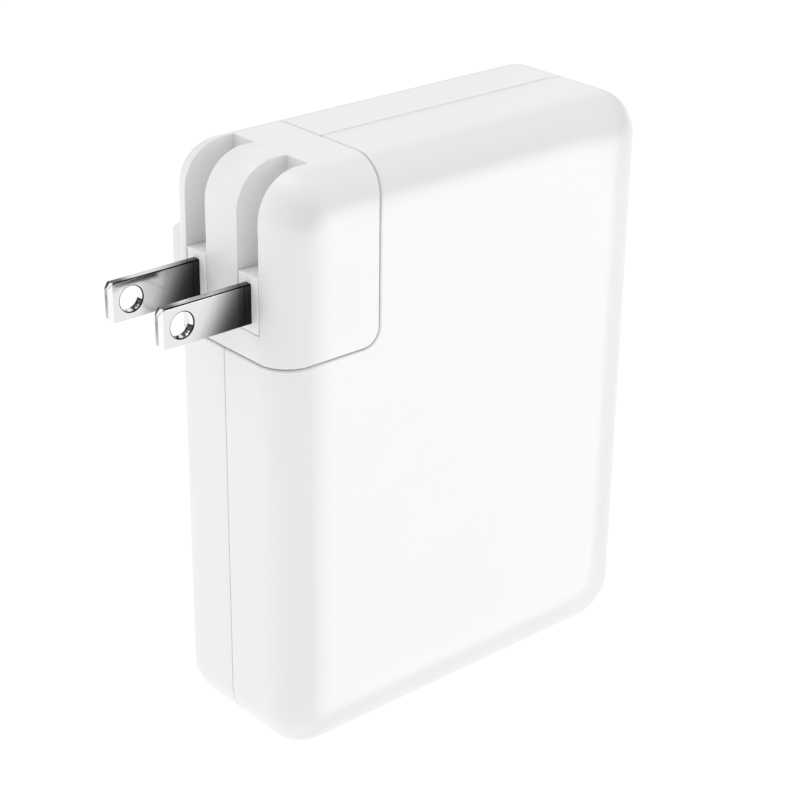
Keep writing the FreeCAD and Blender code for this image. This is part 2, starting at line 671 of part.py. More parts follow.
def make_transformer(x, z, width, height):
    """Framed core round a winding; the winding fills the frame's window round the middle leg."""
    middle = x + width / 2
    y = BOARD_FACE - CORE_STAND / 2
    leg_r = width / 5
    coil_r = CORE_STAND / 2 - LAYER_GAP
    z0 = z + CORE_YOKE
    z1 = z + height - CORE_YOKE
    window = box(x + CORE_SIDE, -FAR, z0, x + width - CORE_SIDE, FAR, z1)
    leg = rod(leg_r, vec(middle, y, z0), vec(middle, y, z1))
    coil = rod(coil_r, vec(middle, y, z0 + LAYER_GAP), vec(middle, y, z1 - LAYER_GAP))
    core = on_board(x, z, (width, height, CORE_STAND)).cut(window).fuse(leg).removeSplitter()
    keep("transformer_core", core)
    keep("transformer_winding", coil.cut(leg))
    pad_y1 = BOARD_FACE - CORE_STAND
    keep("thermal_pad", box(x, pad_y1 - PAD_T, z, x + width, pad_y1, z + height))


def make_electronics():
    """Board with its components in three rows, between the two broad walls' layers."""
    inlet_x1 = INLET_X + BOSS_X / 2 + BOSS_CLEAR + INLET_WALL + PART_GAP
    board = layer(WALL + BOARD_EDGE, BOARD_FACE, BOARD_REAR)
    board = board.cut(box(-FAR, -FAR, PIN_FOOT - PART_GAP / 2, inlet_x1, FAR, FAR))
    keep("main_board", board)
    make_leads()
    x_low = LEFT + WALL + ROW_MARGIN
    x_high = RIGHT - WALL - ROW_MARGIN
    z_low = WALL + ROW_MARGIN

    # bottom row: two bulk capacitors lying end to end, and the bridge
    row_x = x_low
    can_y = BOARD_FACE - BULK_CAN_R
    can_z = z_low + BULK_CAN_R
    for name in ("a", "b"):
        can = rod(BULK_CAN_R, vec(row_x, can_y, can_z), vec(row_x + BULK_CAN_L, can_y, can_z))
        keep("bulk_capacitor_" + name, can.makeFillet(0.8, [e for e in can.Edges if e.Closed]))
        row_x += BULK_CAN_L + PART_GAP
    keep("bridge_rectifier", on_board(row_x, z_low, BRIDGE))

    # upper row, hung from the top: choke, output capacitors, control chips
    chip_z = HEIGHT - WALL - ROW_MARGIN - CHIP[1] - BOARD_EDGE
    choke_r = CHOKE_R + CHOKE_WIRE_R
    ring_z = chip_z - PART_GAP - choke_r
    ring_x = RECESS_X + WALL + STUD_BACK_T + PART_GAP + choke_r
    ring_y = BOARD_FACE - CHOKE_WIRE_R
    keep("choke_core", Part.makeTorus(CHOKE_R, CHOKE_WIRE_R, vec(ring_x, ring_y, ring_z), Y_AXIS))
    can_x = ring_x + choke_r + PART_GAP + OUTPUT_CAN_R
    can_top = BOARD_FACE - OUTPUT_CAN_L
    for name in ("a", "b"):
        can = rod_y(OUTPUT_CAN_R, can_x, ring_z, can_top, BOARD_FACE)
        rim = [e for e in can.Edges if e.BoundBox.YMax < can_top + 1e-6]
        keep("output_capacitor_" + name, can.makeFillet(0.6, rim))
        can_x += 2 * OUTPUT_CAN_R + PART_GAP
    keep("control_chip", on_board(ring_x - CHIP[0] / 2, chip_z, CHIP))
    keep("isolator", on_board(ring_x + choke_r, chip_z, ISOLATOR))

    # middle row: film capacitor and fuse, transformer, switch on its heat sink, output inductor
    mid_z = z_low + 2 * BULK_CAN_R + PART_GAP
    keep("x_capacitor", on_board(x_low, mid_z, FILM_CAP))
    core_x = max(x_low + FILM_CAP[0], inlet_x1 + 2 * FUSE_R) + PART_GAP
    fuse_x = core_x - PART_GAP - FUSE_R
    fuse_z = mid_z + FILM_CAP[1] + PART_GAP
    keep("fuse", rod_z(FUSE_R, fuse_x, BOARD_FACE - FUSE_R, fuse_z, fuse_z + FUSE_L))
    inductor_x = x_high - INDUCTOR[0]
    keep("output_inductor", on_board(inductor_x, mid_z, INDUCTOR))
    switch_x = inductor_x - PART_GAP - SWITCH[0]
    keep("power_switch", on_board(switch_x, mid_z + SWITCH_UP, SWITCH))
    keep("heat_sink", on_board(switch_x - SINK[0], mid_z, SINK))
    core_w = min(CORE_W, switch_x - SINK[0] - PART_GAP - core_x)
    core_h = min(CORE_H, ring_z - choke_r - PART_GAP - mid_z)
    make_transformer(core_x, mid_z, core_w, core_h)


def make_layers():
    """Heat spreader and insulating film against each broad wall."""
    posts = [rod_y(POST_R + LAYER_GAP + 0.4, x, z, -FAR, FAR) for x, z in POSTS]
    holes = posts[0].fuse(posts[1:])
    for side, name in ((-1, "front"), (1, "rear")):
        wall = side * (BACK - WALL)
        plate_in = wall - side * (LAYER_GAP + SPREADER_T)
        film_out = plate_in - side * LAYER_GAP
        bands = {
            "heat_spreader": between(wall - side * LAYER_GAP, plate_in),
            "insulating_sheet": between(film_out, film_out - side * SHEET_T),
        }
        for label, band in bands.items():
            keep(name + "_" + label, layer(WALL + SPREADER_EDGE, *band).cut(holes))


make_casing()
make_docking()
make_plug_shell()
make_inlet_plug()
make_blade_cradle()
make_inner_cover()
make_blade_contacts()
make_blades()
make_port()
make_electronics()
make_layers()

os.makedirs("parts", exist_ok=True)
for name, shape in parts.items():
    if not shape.isValid() or not shape.Solids:
        print("not sound:", name)
    shape.exportStep(os.path.join("parts", name + ".step"))
    print(name, len(shape.Solids), round(shape.Volume, 1))
print(len(parts), "nodes")
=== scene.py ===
# %% [markdown]
# # A laptop power adapter in white plastic
# This lesson dresses a finished engineering model: a rounded casing in two halves, a plug module
# in its upper corner, and two nickel-plated blades that fold up into slots. The engineering
# model stays as it is. Where its facets would show, a finer surface takes a part's place, and
# everything else keeps its shape and gets its finish here. Units are metres, +Z is up, the
# blades point towards -X and the broad front face looks towards -Y.

# %% Load the frame
import json
import math

import bmesh
import bpy
import numpy as np
from mathutils import Matrix, Vector


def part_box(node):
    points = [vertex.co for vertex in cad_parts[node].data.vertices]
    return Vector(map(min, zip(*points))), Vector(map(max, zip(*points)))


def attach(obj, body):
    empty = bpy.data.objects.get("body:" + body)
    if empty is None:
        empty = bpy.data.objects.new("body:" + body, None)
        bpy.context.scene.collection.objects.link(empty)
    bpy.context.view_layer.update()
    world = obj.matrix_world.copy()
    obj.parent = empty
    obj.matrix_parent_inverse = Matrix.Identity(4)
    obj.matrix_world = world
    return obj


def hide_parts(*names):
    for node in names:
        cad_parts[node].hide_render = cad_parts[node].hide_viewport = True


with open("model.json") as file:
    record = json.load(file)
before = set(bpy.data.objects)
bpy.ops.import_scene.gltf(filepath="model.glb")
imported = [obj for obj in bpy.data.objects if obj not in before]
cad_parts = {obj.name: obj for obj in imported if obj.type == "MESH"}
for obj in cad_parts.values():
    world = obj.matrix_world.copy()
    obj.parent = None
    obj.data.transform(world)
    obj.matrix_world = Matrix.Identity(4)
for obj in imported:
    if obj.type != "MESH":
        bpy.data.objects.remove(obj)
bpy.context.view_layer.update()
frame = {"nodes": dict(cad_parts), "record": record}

# %% [markdown]
# ## Sizes
# The overall sizes are read from the model's own boxes, so they can't drift from it. The radii
# can't be read from a box, so they are named here once, in millimetres, and are the same as the
# model's.

# %% Sizes read from the frame, and the radii
MM = 0.001
front_low, front_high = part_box("front_shell")
back_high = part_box("back_shell")[1]
module_low, module_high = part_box("plug_shell")
blade_low, blade_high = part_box("blade_front")
hub_low, hub_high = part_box("blade_carrier")
cover_low, cover_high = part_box("plug_inner_cover")
cup_low, cup_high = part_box("ac_inlet")
flange_low, flange_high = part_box("inlet_plug")
stud_low, stud_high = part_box("docking_stud")
can_low, can_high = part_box("port_can")

LEFT, RIGHT = front_low.x, front_high.x
FRONT, BACK = front_low.y, back_high.y
TOP = front_high.z
SEAM_X, SEAM_Z = module_high.x, module_low.z
SEAM_GAP = 0.25 * MM
CORNER_R = 8.3 * MM
MODULE_CORNER_R = 7.2 * MM
EDGE_R = 5.4 * MM
SEAM_R = 3.0 * MM
SEAM_EDGE = 0.3 * MM
WALL = 2.2 * MM
PARTING_EDGE = 0.1 * MM
TONGUE_T = 0.9 * MM
TONGUE_H = 1.4 * MM
TONGUE_CLEAR = 0.08 * MM
PARTING = -front_high.y
print("casing", [round(v / MM, 2) for v in (RIGHT - LEFT, BACK - FRONT, TOP)], "mm")

# %% [markdown]
# ## Camera and stage
# A long lens from the front left and a little above shows the plug side, the top and the broad
# face together.

# %% The camera
CAMERA_AZIMUTH = math.radians(-41.21)
CAMERA_ELEVATION = math.radians(25.22)
CAMERA_ROLL = math.radians(0.71)
CAMERA_DISTANCE = 343.7 * MM
CAMERA_LENS = 94.47
AIM = Vector(((LEFT + RIGHT) / 2 - 2.54 * MM, (FRONT + BACK) / 2, 48.9 * MM))


def camera_axes(azimuth, elevation, roll):
    """Right, up and backward directions of a camera that looks at its aim."""
    back = Vector(
        (
            math.sin(azimuth) * math.cos(elevation),
            -math.cos(azimuth) * math.cos(elevation),
            math.sin(elevation),
        )
    )
    level = Vector((math.cos(azimuth), math.sin(azimuth), 0.0))
    upright = back.cross(level)
    right = math.cos(roll) * level + math.sin(roll) * upright
    up = math.cos(roll) * upright - math.sin(roll) * level
    return right, up, back


right, up, back = camera_axes(CAMERA_AZIMUTH, CAMERA_ELEVATION, CAMERA_ROLL)
camera_data = bpy.data.cameras.new("camera")
camera_data.lens = CAMERA_LENS
camera_data.sensor_width = 36.0
camera_data.clip_start = 0.01
camera = bpy.data.objects.new("camera", camera_data)
bpy.context.scene.collection.objects.link(camera)
camera.matrix_world = Matrix.Translation(AIM + back * CAMERA_DISTANCE) @ Matrix(
    (
        (right.x, up.x, back.x),
        (right.y, up.y, back.y),
        (right.z, up.z, back.z),
    )
).to_4x4()
bpy.context.scene.camera = camera
print("camera at", [round(v, 4) for v in camera.matrix_world.translation])


# %% [markdown]
# White plastic on white is drawn only by its own shading. Most of the light is the even glow of
# the surroundings. Five square lamps add a little: one at the right of the front, and four
# behind and above. The rounded edges that face the camera turn away from all of them, so they
# get less light than the faces beside them, and that is what makes the shape readable.

# %% The lamps
LAMP_DISTANCE = 0.75
LAMP_SIZE = 0.45


def area_lamp(name, azimuth, elevation, power):
    """Square lamp on a sphere round the object, facing its middle."""
    _, _, away = camera_axes(math.radians(azimuth), math.radians(elevation), 0.0)
    middle = Vector((0.0, 0.0, TOP / 2))
    data = bpy.data.lights.new(name, "AREA")
    data.shape = "SQUARE"
    data.size = LAMP_SIZE
    data.energy = power
    lamp = bpy.data.objects.new(name, data)
    bpy.context.scene.collection.objects.link(lamp)
    lamp.location = middle + away * LAMP_DISTANCE
    lamp.rotation_euler = (-away).to_track_quat("-Z", "Y").to_euler()
    return lamp


area_lamp("lamp_front_right", 34.0, 10.0, 1.42)
area_lamp("lamp_right_behind", 118.0, 0.0, 0.25)
area_lamp("lamp_left_behind", -130.0, 25.0, 0.58)
area_lamp("lamp_high_behind", 180.0, 68.0, 1.15)
area_lamp("lamp_high_left", -150.0, 60.0, 0.42)

# %% [markdown]
# The surroundings are three things at once, as in a studio with cards and curtains. The camera
# sees white. Matt surfaces are lit by a pale sky above and brighter ground below. Mirrors see
# near darkness, which gives bright metal its contrast, with one soft card high on the far side
# that lights the blades' top edges. No single real room looks like this to all three.

# %% The surroundings
SKY_LEVEL = 0.75
GROUND_LEVEL = 1.17
MIRROR_LEVEL = 0.08
CARD_LEVEL = 0.95
CARD_TOWARDS = (0.597, 0.681, 0.426)
CARD_MIDDLE = math.radians(10.0)
CARD_EDGE = math.radians(24.0)
world = bpy.data.worlds.new("studio")
bpy.context.scene.world = world
world.use_nodes = True
sky = world.node_tree
shade = sky.nodes["Background"]
shade.inputs["Color"].default_value = (1.0, 1.0, 1.0, 1.0)
direction = sky.nodes.new("ShaderNodeTexCoord")
axes = sky.nodes.new("ShaderNodeSeparateXYZ")
height = sky.nodes.new("ShaderNodeMapRange")
height.inputs["From Min"].default_value = -0.05
height.inputs["From Max"].default_value = 0.05
height.inputs["To Min"].default_value = GROUND_LEVEL
height.inputs["To Max"].default_value = SKY_LEVEL
seen = sky.nodes.new("ShaderNodeLightPath")
mirrored = sky.nodes.new("ShaderNodeMix")
to_card = sky.nodes.new("ShaderNodeVectorMath")
to_card.operation = "DOT_PRODUCT"
to_card.inputs[1].default_value = CARD_TOWARDS
card = sky.nodes.new("ShaderNodeMapRange")
card.interpolation_type = "SMOOTHSTEP"
card.inputs["From Min"].default_value = math.cos(CARD_EDGE)
card.inputs["From Max"].default_value = math.cos(CARD_MIDDLE)
card.inputs["To Min"].default_value = MIRROR_LEVEL
card.inputs["To Max"].default_value = CARD_LEVEL
level = sky.nodes.new("ShaderNodeMix")
level.inputs["B"].default_value = 1.0
sky.links.new(direction.outputs["Generated"], axes.inputs["Vector"])
sky.links.new(axes.outputs["Z"], height.inputs["Value"])
sky.links.new(direction.outputs["Generated"], to_card.inputs[0])
sky.links.new(to_card.outputs["Value"], card.inputs["Value"])
sky.links.new(card.outputs["Result"], mirrored.inputs["B"])
sky.links.new(seen.outputs["Is Camera Ray"], level.inputs["Factor"])
sky.links.new(seen.outputs["Is Glossy Ray"], mirrored.inputs["Factor"])
sky.links.new(height.outputs["Result"], mirrored.inputs["A"])
sky.links.new(mirrored.outputs["Result"], level.inputs["A"])
sky.links.new(level.outputs["Result"], shade.inputs["Strength"])
bpy.context.scene.view_settings.view_transform = "Standard"
bpy.context.scene.view_settings.look = "None"

# %% [markdown]
# ## Shaders
# A finish is a small graph of nodes. Everything that varies over a surface comes from noise in
# Object coordinates, so it stays with the piece when the piece moves. Moulded plastic has two
# layers of relief: a very shallow waviness left by the mould, and the fine grain of its
# spark-eroded surface. Both are far too small to see as bumps, but they break up reflections.

# %% A helper for node graphs
def new_material(name):
    """Empty node graph with a Principled shader; returns the material, its graph and shader."""
    material = bpy.data.materials.new(name)
    material.use_nodes = True
    graph = material.node_tree
    return material, graph, graph.nodes["Principled BSDF"]


def link(graph, source, output, target, socket):
    graph.links.new(source.outputs[output], target.inputs[socket])


def object_noise(graph, scale, detail=3.0, stretch=(1.0, 1.0, 1.0), roughness=0.5):
    """Noise in Object coordinates; stretch squeezes it along an axis for a brushed look."""
    place = graph.nodes.new("ShaderNodeTexCoord")
    mapping = graph.nodes.new("ShaderNodeMapping")
    noise = graph.nodes.new("ShaderNodeTexNoise")
    mapping.inputs["Scale"].default_value = stretch
    noise.inputs["Scale"].default_value = scale
    noise.inputs["Detail"].default_value = detail
    noise.inputs["Roughness"].default_value = roughness
    link(graph, place, "Object", mapping, "Vector")
    link(graph, mapping, "Vector", noise, "Vector")
    return noise


def spread(graph, noise, low, high):
    """Turns the noise into a value between low and high."""
    ramp = graph.nodes.new("ShaderNodeMapRange")
    ramp.inputs["From Min"].default_value = 0.3
    ramp.inputs["From Max"].default_value = 0.7
    ramp.inputs["To Min"].default_value = low
    ramp.inputs["To Max"].default_value = high
    link(graph, noise, "Fac", ramp, "Value")
    return ramp


def tint(graph, noise, dark, light):
    """Colour that wanders between two shades with the noise."""
    mix = graph.nodes.new("ShaderNodeMix")
    mix.data_type = "RGBA"
    mix.inputs["A"].default_value = (*dark, 1.0)
    mix.inputs["B"].default_value = (*light, 1.0)
    graph.links.new(noise.outputs["Fac"], mix.inputs["Factor"])
    return mix


def relief(graph, noise, depth, under=None):
    """Bump of the given depth in metres, over another bump if there is one."""
    bump = graph.nodes.new("ShaderNodeBump")
    bump.inputs["Strength"].default_value = 1.0
    bump.inputs["Distance"].default_value = depth
    link(graph, noise, "Fac", bump, "Height")
    if under is not None:
        link(graph, under, "Normal", bump, "Normal")
    return bump


# %% Moulded plastics
def moulded_plastic(name, dark, light, gloss, grain, wave):
    """Plastic with mould waviness and spark-eroded grain; gloss is (low, high) roughness."""
    material, graph, shader = new_material(name)
    broad = object_noise(graph, 60.0, 2.0)
    fine = object_noise(graph, 3600.0, 2.0)
    colour = tint(graph, broad, dark, light)
    graph.links.new(colour.outputs["Result"], shader.inputs["Base Color"])
    link(graph, spread(graph, fine, *gloss), "Result", shader, "Roughness")
    waves = relief(graph, broad, wave)
    link(graph, relief(graph, fine, grain, waves), "Normal", shader, "Normal")
    shader.inputs["IOR"].default_value = 1.5
    return material


WHITE = ((0.800, 0.800, 0.803), (0.815, 0.815, 0.815))
HUB = ((0.86, 0.86, 0.86), (0.88, 0.88, 0.88))
INNER = ((0.70, 0.70, 0.70), (0.74, 0.74, 0.73))
BLACK = ((0.018, 0.018, 0.02), (0.03, 0.03, 0.032))
AMBER = ((0.62, 0.45, 0.08), (0.68, 0.5, 0.1))
CREAM = ((0.72, 0.70, 0.62), (0.78, 0.76, 0.68))
BLUE_GREY = ((0.28, 0.33, 0.42), (0.33, 0.38, 0.47))
CHARCOAL = ((0.035, 0.035, 0.038), (0.06, 0.06, 0.062))
GREEN = ((0.01, 0.07, 0.03), (0.015, 0.095, 0.04))
OUTER_SKIN = ((0.30, 0.36), 6e-7, 4e-6)
casing_white = moulded_plastic("casing_white", *WHITE, *OUTER_SKIN)
module_white = moulded_plastic("module_white", *WHITE, *OUTER_SKIN)
hub_white = moulded_plastic("hub_white", *HUB, *OUTER_SKIN)
inner_white = moulded_plastic("inner_white", *INNER, (0.42, 0.52), 6e-6, 1e-5)
black_plastic = moulded_plastic("black_plastic", *BLACK, (0.45, 0.6), 8e-6, 1e-5)
film_case = moulded_plastic("film_case", *AMBER, (0.3, 0.4), 4e-6, 2e-5)
film_sheet = moulded_plastic("film_sheet", *CREAM, (0.2, 0.3), 2e-6, 4e-5)
pad_rubber = moulded_plastic("pad_rubber", *BLUE_GREY, (0.6, 0.75), 2e-5, 2e-5)
ferrite = moulded_plastic("ferrite", *CHARCOAL, (0.55, 0.75), 1.5e-5, 1e-5)
board_green = moulded_plastic("board_green", *GREEN, (0.25, 0.4), 4e-6, 1e-5)
print("plastics:", len(bpy.data.materials))

# %% [markdown]
# Metals differ in how their surface was finished. Plated brass is polished first, so it keeps
# faint lines along the blade and then a soft, slightly uneven gloss. Sheet and can metals keep a
# stronger grain.

# %% Metals
def worked_metal(name, dark, light, gloss, stretch, lines, line_scale=900.0):
    """Metal with drawn lines; stretch is small along the lines."""
    material, graph, shader = new_material(name)
    brushed = object_noise(graph, line_scale, 4.0, stretch)
    patches = object_noise(graph, 140.0, 2.0)
    colour = tint(graph, patches, dark, light)
    graph.links.new(colour.outputs["Result"], shader.inputs["Base Color"])
    link(graph, spread(graph, brushed, *gloss), "Result", shader, "Roughness")
    link(graph, relief(graph, brushed, lines), "Normal", shader, "Normal")
    shader.inputs["Metallic"].default_value = 1.0
    return material


ALONG_X = (0.03, 1.0, 1.0)
ALONG_Z = (1.0, 1.0, 0.05)
steel = worked_metal("steel", (0.50, 0.50, 0.51), (0.60, 0.60, 0.61), (0.22, 0.34), ALONG_Z, 1e-6)
brass = worked_metal("brass", (0.72, 0.52, 0.24), (0.80, 0.60, 0.30), (0.18, 0.30), ALONG_Z, 1e-6)
copper = worked_metal("copper", (0.62, 0.26, 0.10), (0.74, 0.34, 0.14), (0.25, 0.4), (1.0, 1.0, 8.0), 1e-5)
aluminium = worked_metal("aluminium", (0.70, 0.70, 0.71), (0.80, 0.80, 0.81), (0.28, 0.42), ALONG_Z, 2e-6)


# %% [markdown]
# Bright nickel is a mirror, so its tone is the tone of what it faces. In this pale studio nothing
# near the hub is dark, so the falloff is painted into the finish instead: it runs along the blade
# with a slight slant, from full brightness near the lock hole to almost black at the hub. Being
# paint, it stays put when the blade turns, which a real mirror's picture would not. Over it lie
# faint drawn lines. A face attribute darkens or lightens single faces with painted reflections and painted
# highlights, and is 0 where it is missing.

# %% Bright nickel with its falloff
FALLOFF_STOPS = (
    (0.00, 1.000),
    (0.34, 1.000),
    (0.45, 0.900),
    (0.52, 0.740),
    (0.60, 0.490),
    (0.68, 0.254),
    (0.76, 0.115),
    (0.84, 0.054),
    (0.95, 0.028),
)
FALLOFF_SLANT = 0.56


def bright_nickel(name, start, end, middle):
    """Polished plate whose tone falls off from x = start to x = end, slanted about z = middle."""
    material, graph, shader = new_material(name)
    place = graph.nodes.new("ShaderNodeTexCoord")
    across = graph.nodes.new("ShaderNodeVectorMath")
    across.operation = "DOT_PRODUCT"
    across.inputs[1].default_value = (1.0, 0.0, -FALLOFF_SLANT)
    share = graph.nodes.new("ShaderNodeMapRange")
    share.inputs["From Min"].default_value = start - FALLOFF_SLANT * middle
    share.inputs["From Max"].default_value = end - FALLOFF_SLANT * middle
    ramp = graph.nodes.new("ShaderNodeValToRGB")
    ramp.color_ramp.interpolation = "B_SPLINE"
    for position, tone in FALLOFF_STOPS[1:-1]:
        ramp.color_ramp.elements.new(position)
    for element, (position, tone) in zip(ramp.color_ramp.elements, FALLOFF_STOPS):
        element.position = position
        element.color = (tone, tone, tone, 1.0)
    patches = object_noise(graph, 160.0, 2.0)
    plate = tint(graph, patches, (0.745, 0.742, 0.735), (0.775, 0.772, 0.765))
    toned = graph.nodes.new("ShaderNodeMix")
    toned.data_type = "RGBA"
    toned.blend_type = "MULTIPLY"
    toned.inputs["Factor"].default_value = 1.0
    link(graph, place, "Object", across, "Vector")
    link(graph, across, "Value", share, "Value")
    link(graph, share, "Result", ramp, "Fac")
    # painted reflections and highlights of single faces, read from a face attribute of the blades
    marked = graph.nodes.new("ShaderNodeAttribute")
    marked.attribute_name = "painted_reflection_shade"
    kept = graph.nodes.new("ShaderNodeMath")
    kept.operation = "SUBTRACT"
    kept.inputs[0].default_value = 1.0
    by_face = graph.nodes.new("ShaderNodeVectorMath")
    by_face.operation = "SCALE"
    link(graph, marked, "Fac", kept, 1)
    link(graph, kept, "Value", by_face, "Scale")
    graph.links.new(ramp.outputs["Color"], by_face.inputs["Vector"])
    graph.links.new(plate.outputs["Result"], toned.inputs["A"])
    graph.links.new(by_face.outputs["Vector"], toned.inputs["B"])
    graph.links.new(toned.outputs["Result"], shader.inputs["Base Color"])
    drawn = object_noise(graph, 700.0, 3.0, ALONG_X)
    link(graph, spread(graph, drawn, 0.08, 0.12), "Result", shader, "Roughness")
    link(graph, relief(graph, drawn, 1.5e-7), "Normal", shader, "Normal")
    shader.inputs["Metallic"].default_value = 1.0
    return material


BLADE_HALF_H = 3.175 * MM
BLADE_MID_Z = blade_high.z - BLADE_HALF_H
FALLOFF_START = blade_low.x + 0.65 * MM
nickel = bright_nickel("nickel", FALLOFF_START, LEFT, BLADE_MID_Z)

FINISHES = {
    "casing_plastic": casing_white,
    "module_plastic": module_white,
    "hub_plastic": hub_white,
    "inner_plastic": inner_white,
    "nickel_plate": nickel,
    "stud_steel": steel,
    "contact_brass": brass,
    "black_plastic": black_plastic,
    "board_laminate": board_green,
    "copper_wire": copper,
    "ferrite": ferrite,
    "can_aluminium": aluminium,
    "film_case": film_case,
    "insulating_film": film_sheet,
    "pad_rubber": pad_rubber,
}
for part in frame["record"]["subparts"]:
    node = frame["nodes"][part["node"]]
    node.data.materials.clear()
    node.data.materials.append(FINISHES[part["material_slot"]])

# %% [markdown]
# ## Outlines with right-angled corners
# Seen from the broad face, the casing and the module are outlines with right-angled corners,
# each rounded with its own radius. Every surface below is a profile carried along such an
# outline. To carry it, the outline has to be drawn in by any amount and still have the same
# number of points, so that point follows point from ring to ring.

# %% Rings of an outline
ROUND_STEPS = 24
FILLET_ANGLE = np.linspace(0.0, math.pi / 2, ROUND_STEPS + 1)
FILLET_INSET = EDGE_R * (1.0 - np.cos(FILLET_ANGLE))


def corner_arc(corner, radius, before, after, inset, steps):
    """Arc round one corner of an outline that is drawn in by inset.

    before and after are the inward normals of the two edges. The drawn-in corner is the corner
    plus inset times their sum. A corner that turns inwards keeps its centre and grows, one that
    turns outwards shrinks to a point.
    """
    outward = before[0] * after[1] - before[1] * after[0] > 0
    point = corner + inset * (before + after)
    if radius == 0.0:
        return point[None, :]
    size = max(radius - inset, 0.0) if outward else radius + inset
    turn = 1.0 if outward else -1.0
    centre = point + turn * size * (before + after)
    angle = np.linspace(0.0, math.pi / 2, steps + 1)[:, None]
    return centre - turn * size * (np.cos(angle) * before + np.sin(angle) * after)


def ring(corners, marks, inset):
    """All points of an outline drawn in by inset, as an (n, 2) array of x and z.

    corners are (x, z, radius), anticlockwise as seen from the front. marks holds, for each
    edge, the shares of its length at which it has points of its own.
    """
    spots = np.array([(x, z) for x, z, _ in corners])
    runs = np.roll(spots, -1, axis=0) - spots
    runs /= np.linalg.norm(runs, axis=1)[:, None]
    inward = np.stack([-runs[:, 1], runs[:, 0]], axis=1)
    arcs = [
        corner_arc(spots[i], corners[i][2], inward[i - 1], inward[i], inset, ROUND_STEPS // 2)
        for i in range(len(corners))
    ]
    pieces = []
    for i, arc in enumerate(arcs):
        following = arcs[(i + 1) % len(arcs)][0]
        share = marks[i][:, None]
        pieces += [arc, arc[-1] + share * (following - arc[-1])]
    return np.concatenate(pieces)


def shares(length, from_start=(), from_end=(), between=4):
    """Shares of an edge for distances from its start and its end, with a few points between."""
    start = np.asarray(from_start) / length
    end = 1.0 - np.asarray(from_end) / length
    low = start.max() if start.size else 0.0
    high = end.min() if end.size else 1.0
    middle = np.linspace(low, high, between + 2)[1:-1]
    return np.sort(np.concatenate([start, middle, end]))


# %% [markdown]
# ## The outer skin
# One rule gives the whole outside. For a place in the outline, the distance in from the outline
# says how far the skin has dropped from the broad face: a quarter circle over the edge radius,
# and nothing further in. Beside a seam the skin also sinks along its own normal, by a second
# and much smaller quarter circle, so that the seam has a soft edge that follows every curve.

# %% Distances and the skin
def corner_distance(across, along, radius):
    """Distance inside a rounded corner, from the distances to its two edges."""
    a = radius - across
    b = radius - along
    round_part = np.hypot(np.maximum(a, 0.0), np.maximum(b, 0.0))
    return radius - round_part - np.minimum(np.maximum(a, b), 0.0)


def edge_distance(place):
    """How far a place (x, z) lies inside the adapter's whole outline."""
    x, z = place[..., 0], place[..., 1]
    from_left, from_right = x - LEFT, RIGHT - x
    from_floor, from_top = z, TOP - z
    left_top = (x < 0.0) & (z > TOP / 2)
    radius = np.where(left_top, MODULE_CORNER_R, CORNER_R)
    across = np.minimum(from_left, from_right)
    along = np.minimum(from_floor, from_top)
    return corner_distance(across, along, radius)


def seam_distance(place, seam_x, seam_z, radius, inside):
    """Distance from the seam of a place in the module (inside) or in the casing."""
    a = place[..., 0] - seam_x + radius
    b = seam_z - place[..., 1] + radius
    away = np.hypot(np.maximum(a, 0.0), np.maximum(b, 0.0)) + np.minimum(np.maximum(a, b), 0.0)
    return (radius - away) if inside else (away - radius)


def quarter(distance, radius):
    """Drop of a quarter circle: the radius at distance 0, nothing from one radius on."""
    left = np.clip(radius - distance, 0.0, radius)
    return radius - np.sqrt(np.maximum(radius**2 - left**2, 0.0))


def outward(distance, place):
    """Unit direction in the outline's plane that leads towards the edge, by differences."""
    step = 1e-6
    slope = np.stack(
        [
            distance(place - (step, 0.0)) - distance(place + (step, 0.0)),
            distance(place - (0.0, step)) - distance(place + (0.0, step)),
        ],
        axis=-1,
    )
    return slope / np.maximum(np.linalg.norm(slope, axis=-1), 1e-12)[..., None]


def skin(place, side, seam):
    """Points of the outer skin over places in the outline; side is -1 in front and 1 behind."""
    lean = np.clip(1.0 - edge_distance(place) / EDGE_R, 0.0, 1.0)
    slope = outward(edge_distance, place)
    y = side * (BACK - quarter(edge_distance(place), EDGE_R))
    normal = np.stack(
        [lean * slope[..., 0], side * np.sqrt(1.0 - lean**2), lean * slope[..., 1]], axis=-1
    )
    point = np.stack([place[..., 0], y, place[..., 1]], axis=-1)
    return point - normal * quarter(seam(place), SEAM_EDGE)[..., None]


# %% [markdown]
# Moulded casings like this are drawn with edges that ease into the broad face over a few extra
# millimetres, too little to measure but easy to see, because light follows the direction of the
# surface and not its position. The rings carry the measured quarter circle, and the shading
# normals spread its turn over a longer way: from the narrow side, across the round and onto the
# broad face, in step with the distance along the surface.

# %% Eased shading normals
EASE = 4.3 * MM
TURN_LENGTH = EDGE_R * math.pi / 2 + EASE


def eased_distance(place):
    """Edge distance that passes from the true corners to wider ones away from the edge."""
    true = edge_distance(place)
    across = np.minimum(place[..., 0] - LEFT, RIGHT - place[..., 0])
    along = np.minimum(place[..., 1], TOP - place[..., 1])
    wide = corner_distance(across, along, EDGE_R + EASE)
    share = np.clip(true / EDGE_R, 0.0, 1.0)
    return true + share * (wide - true)


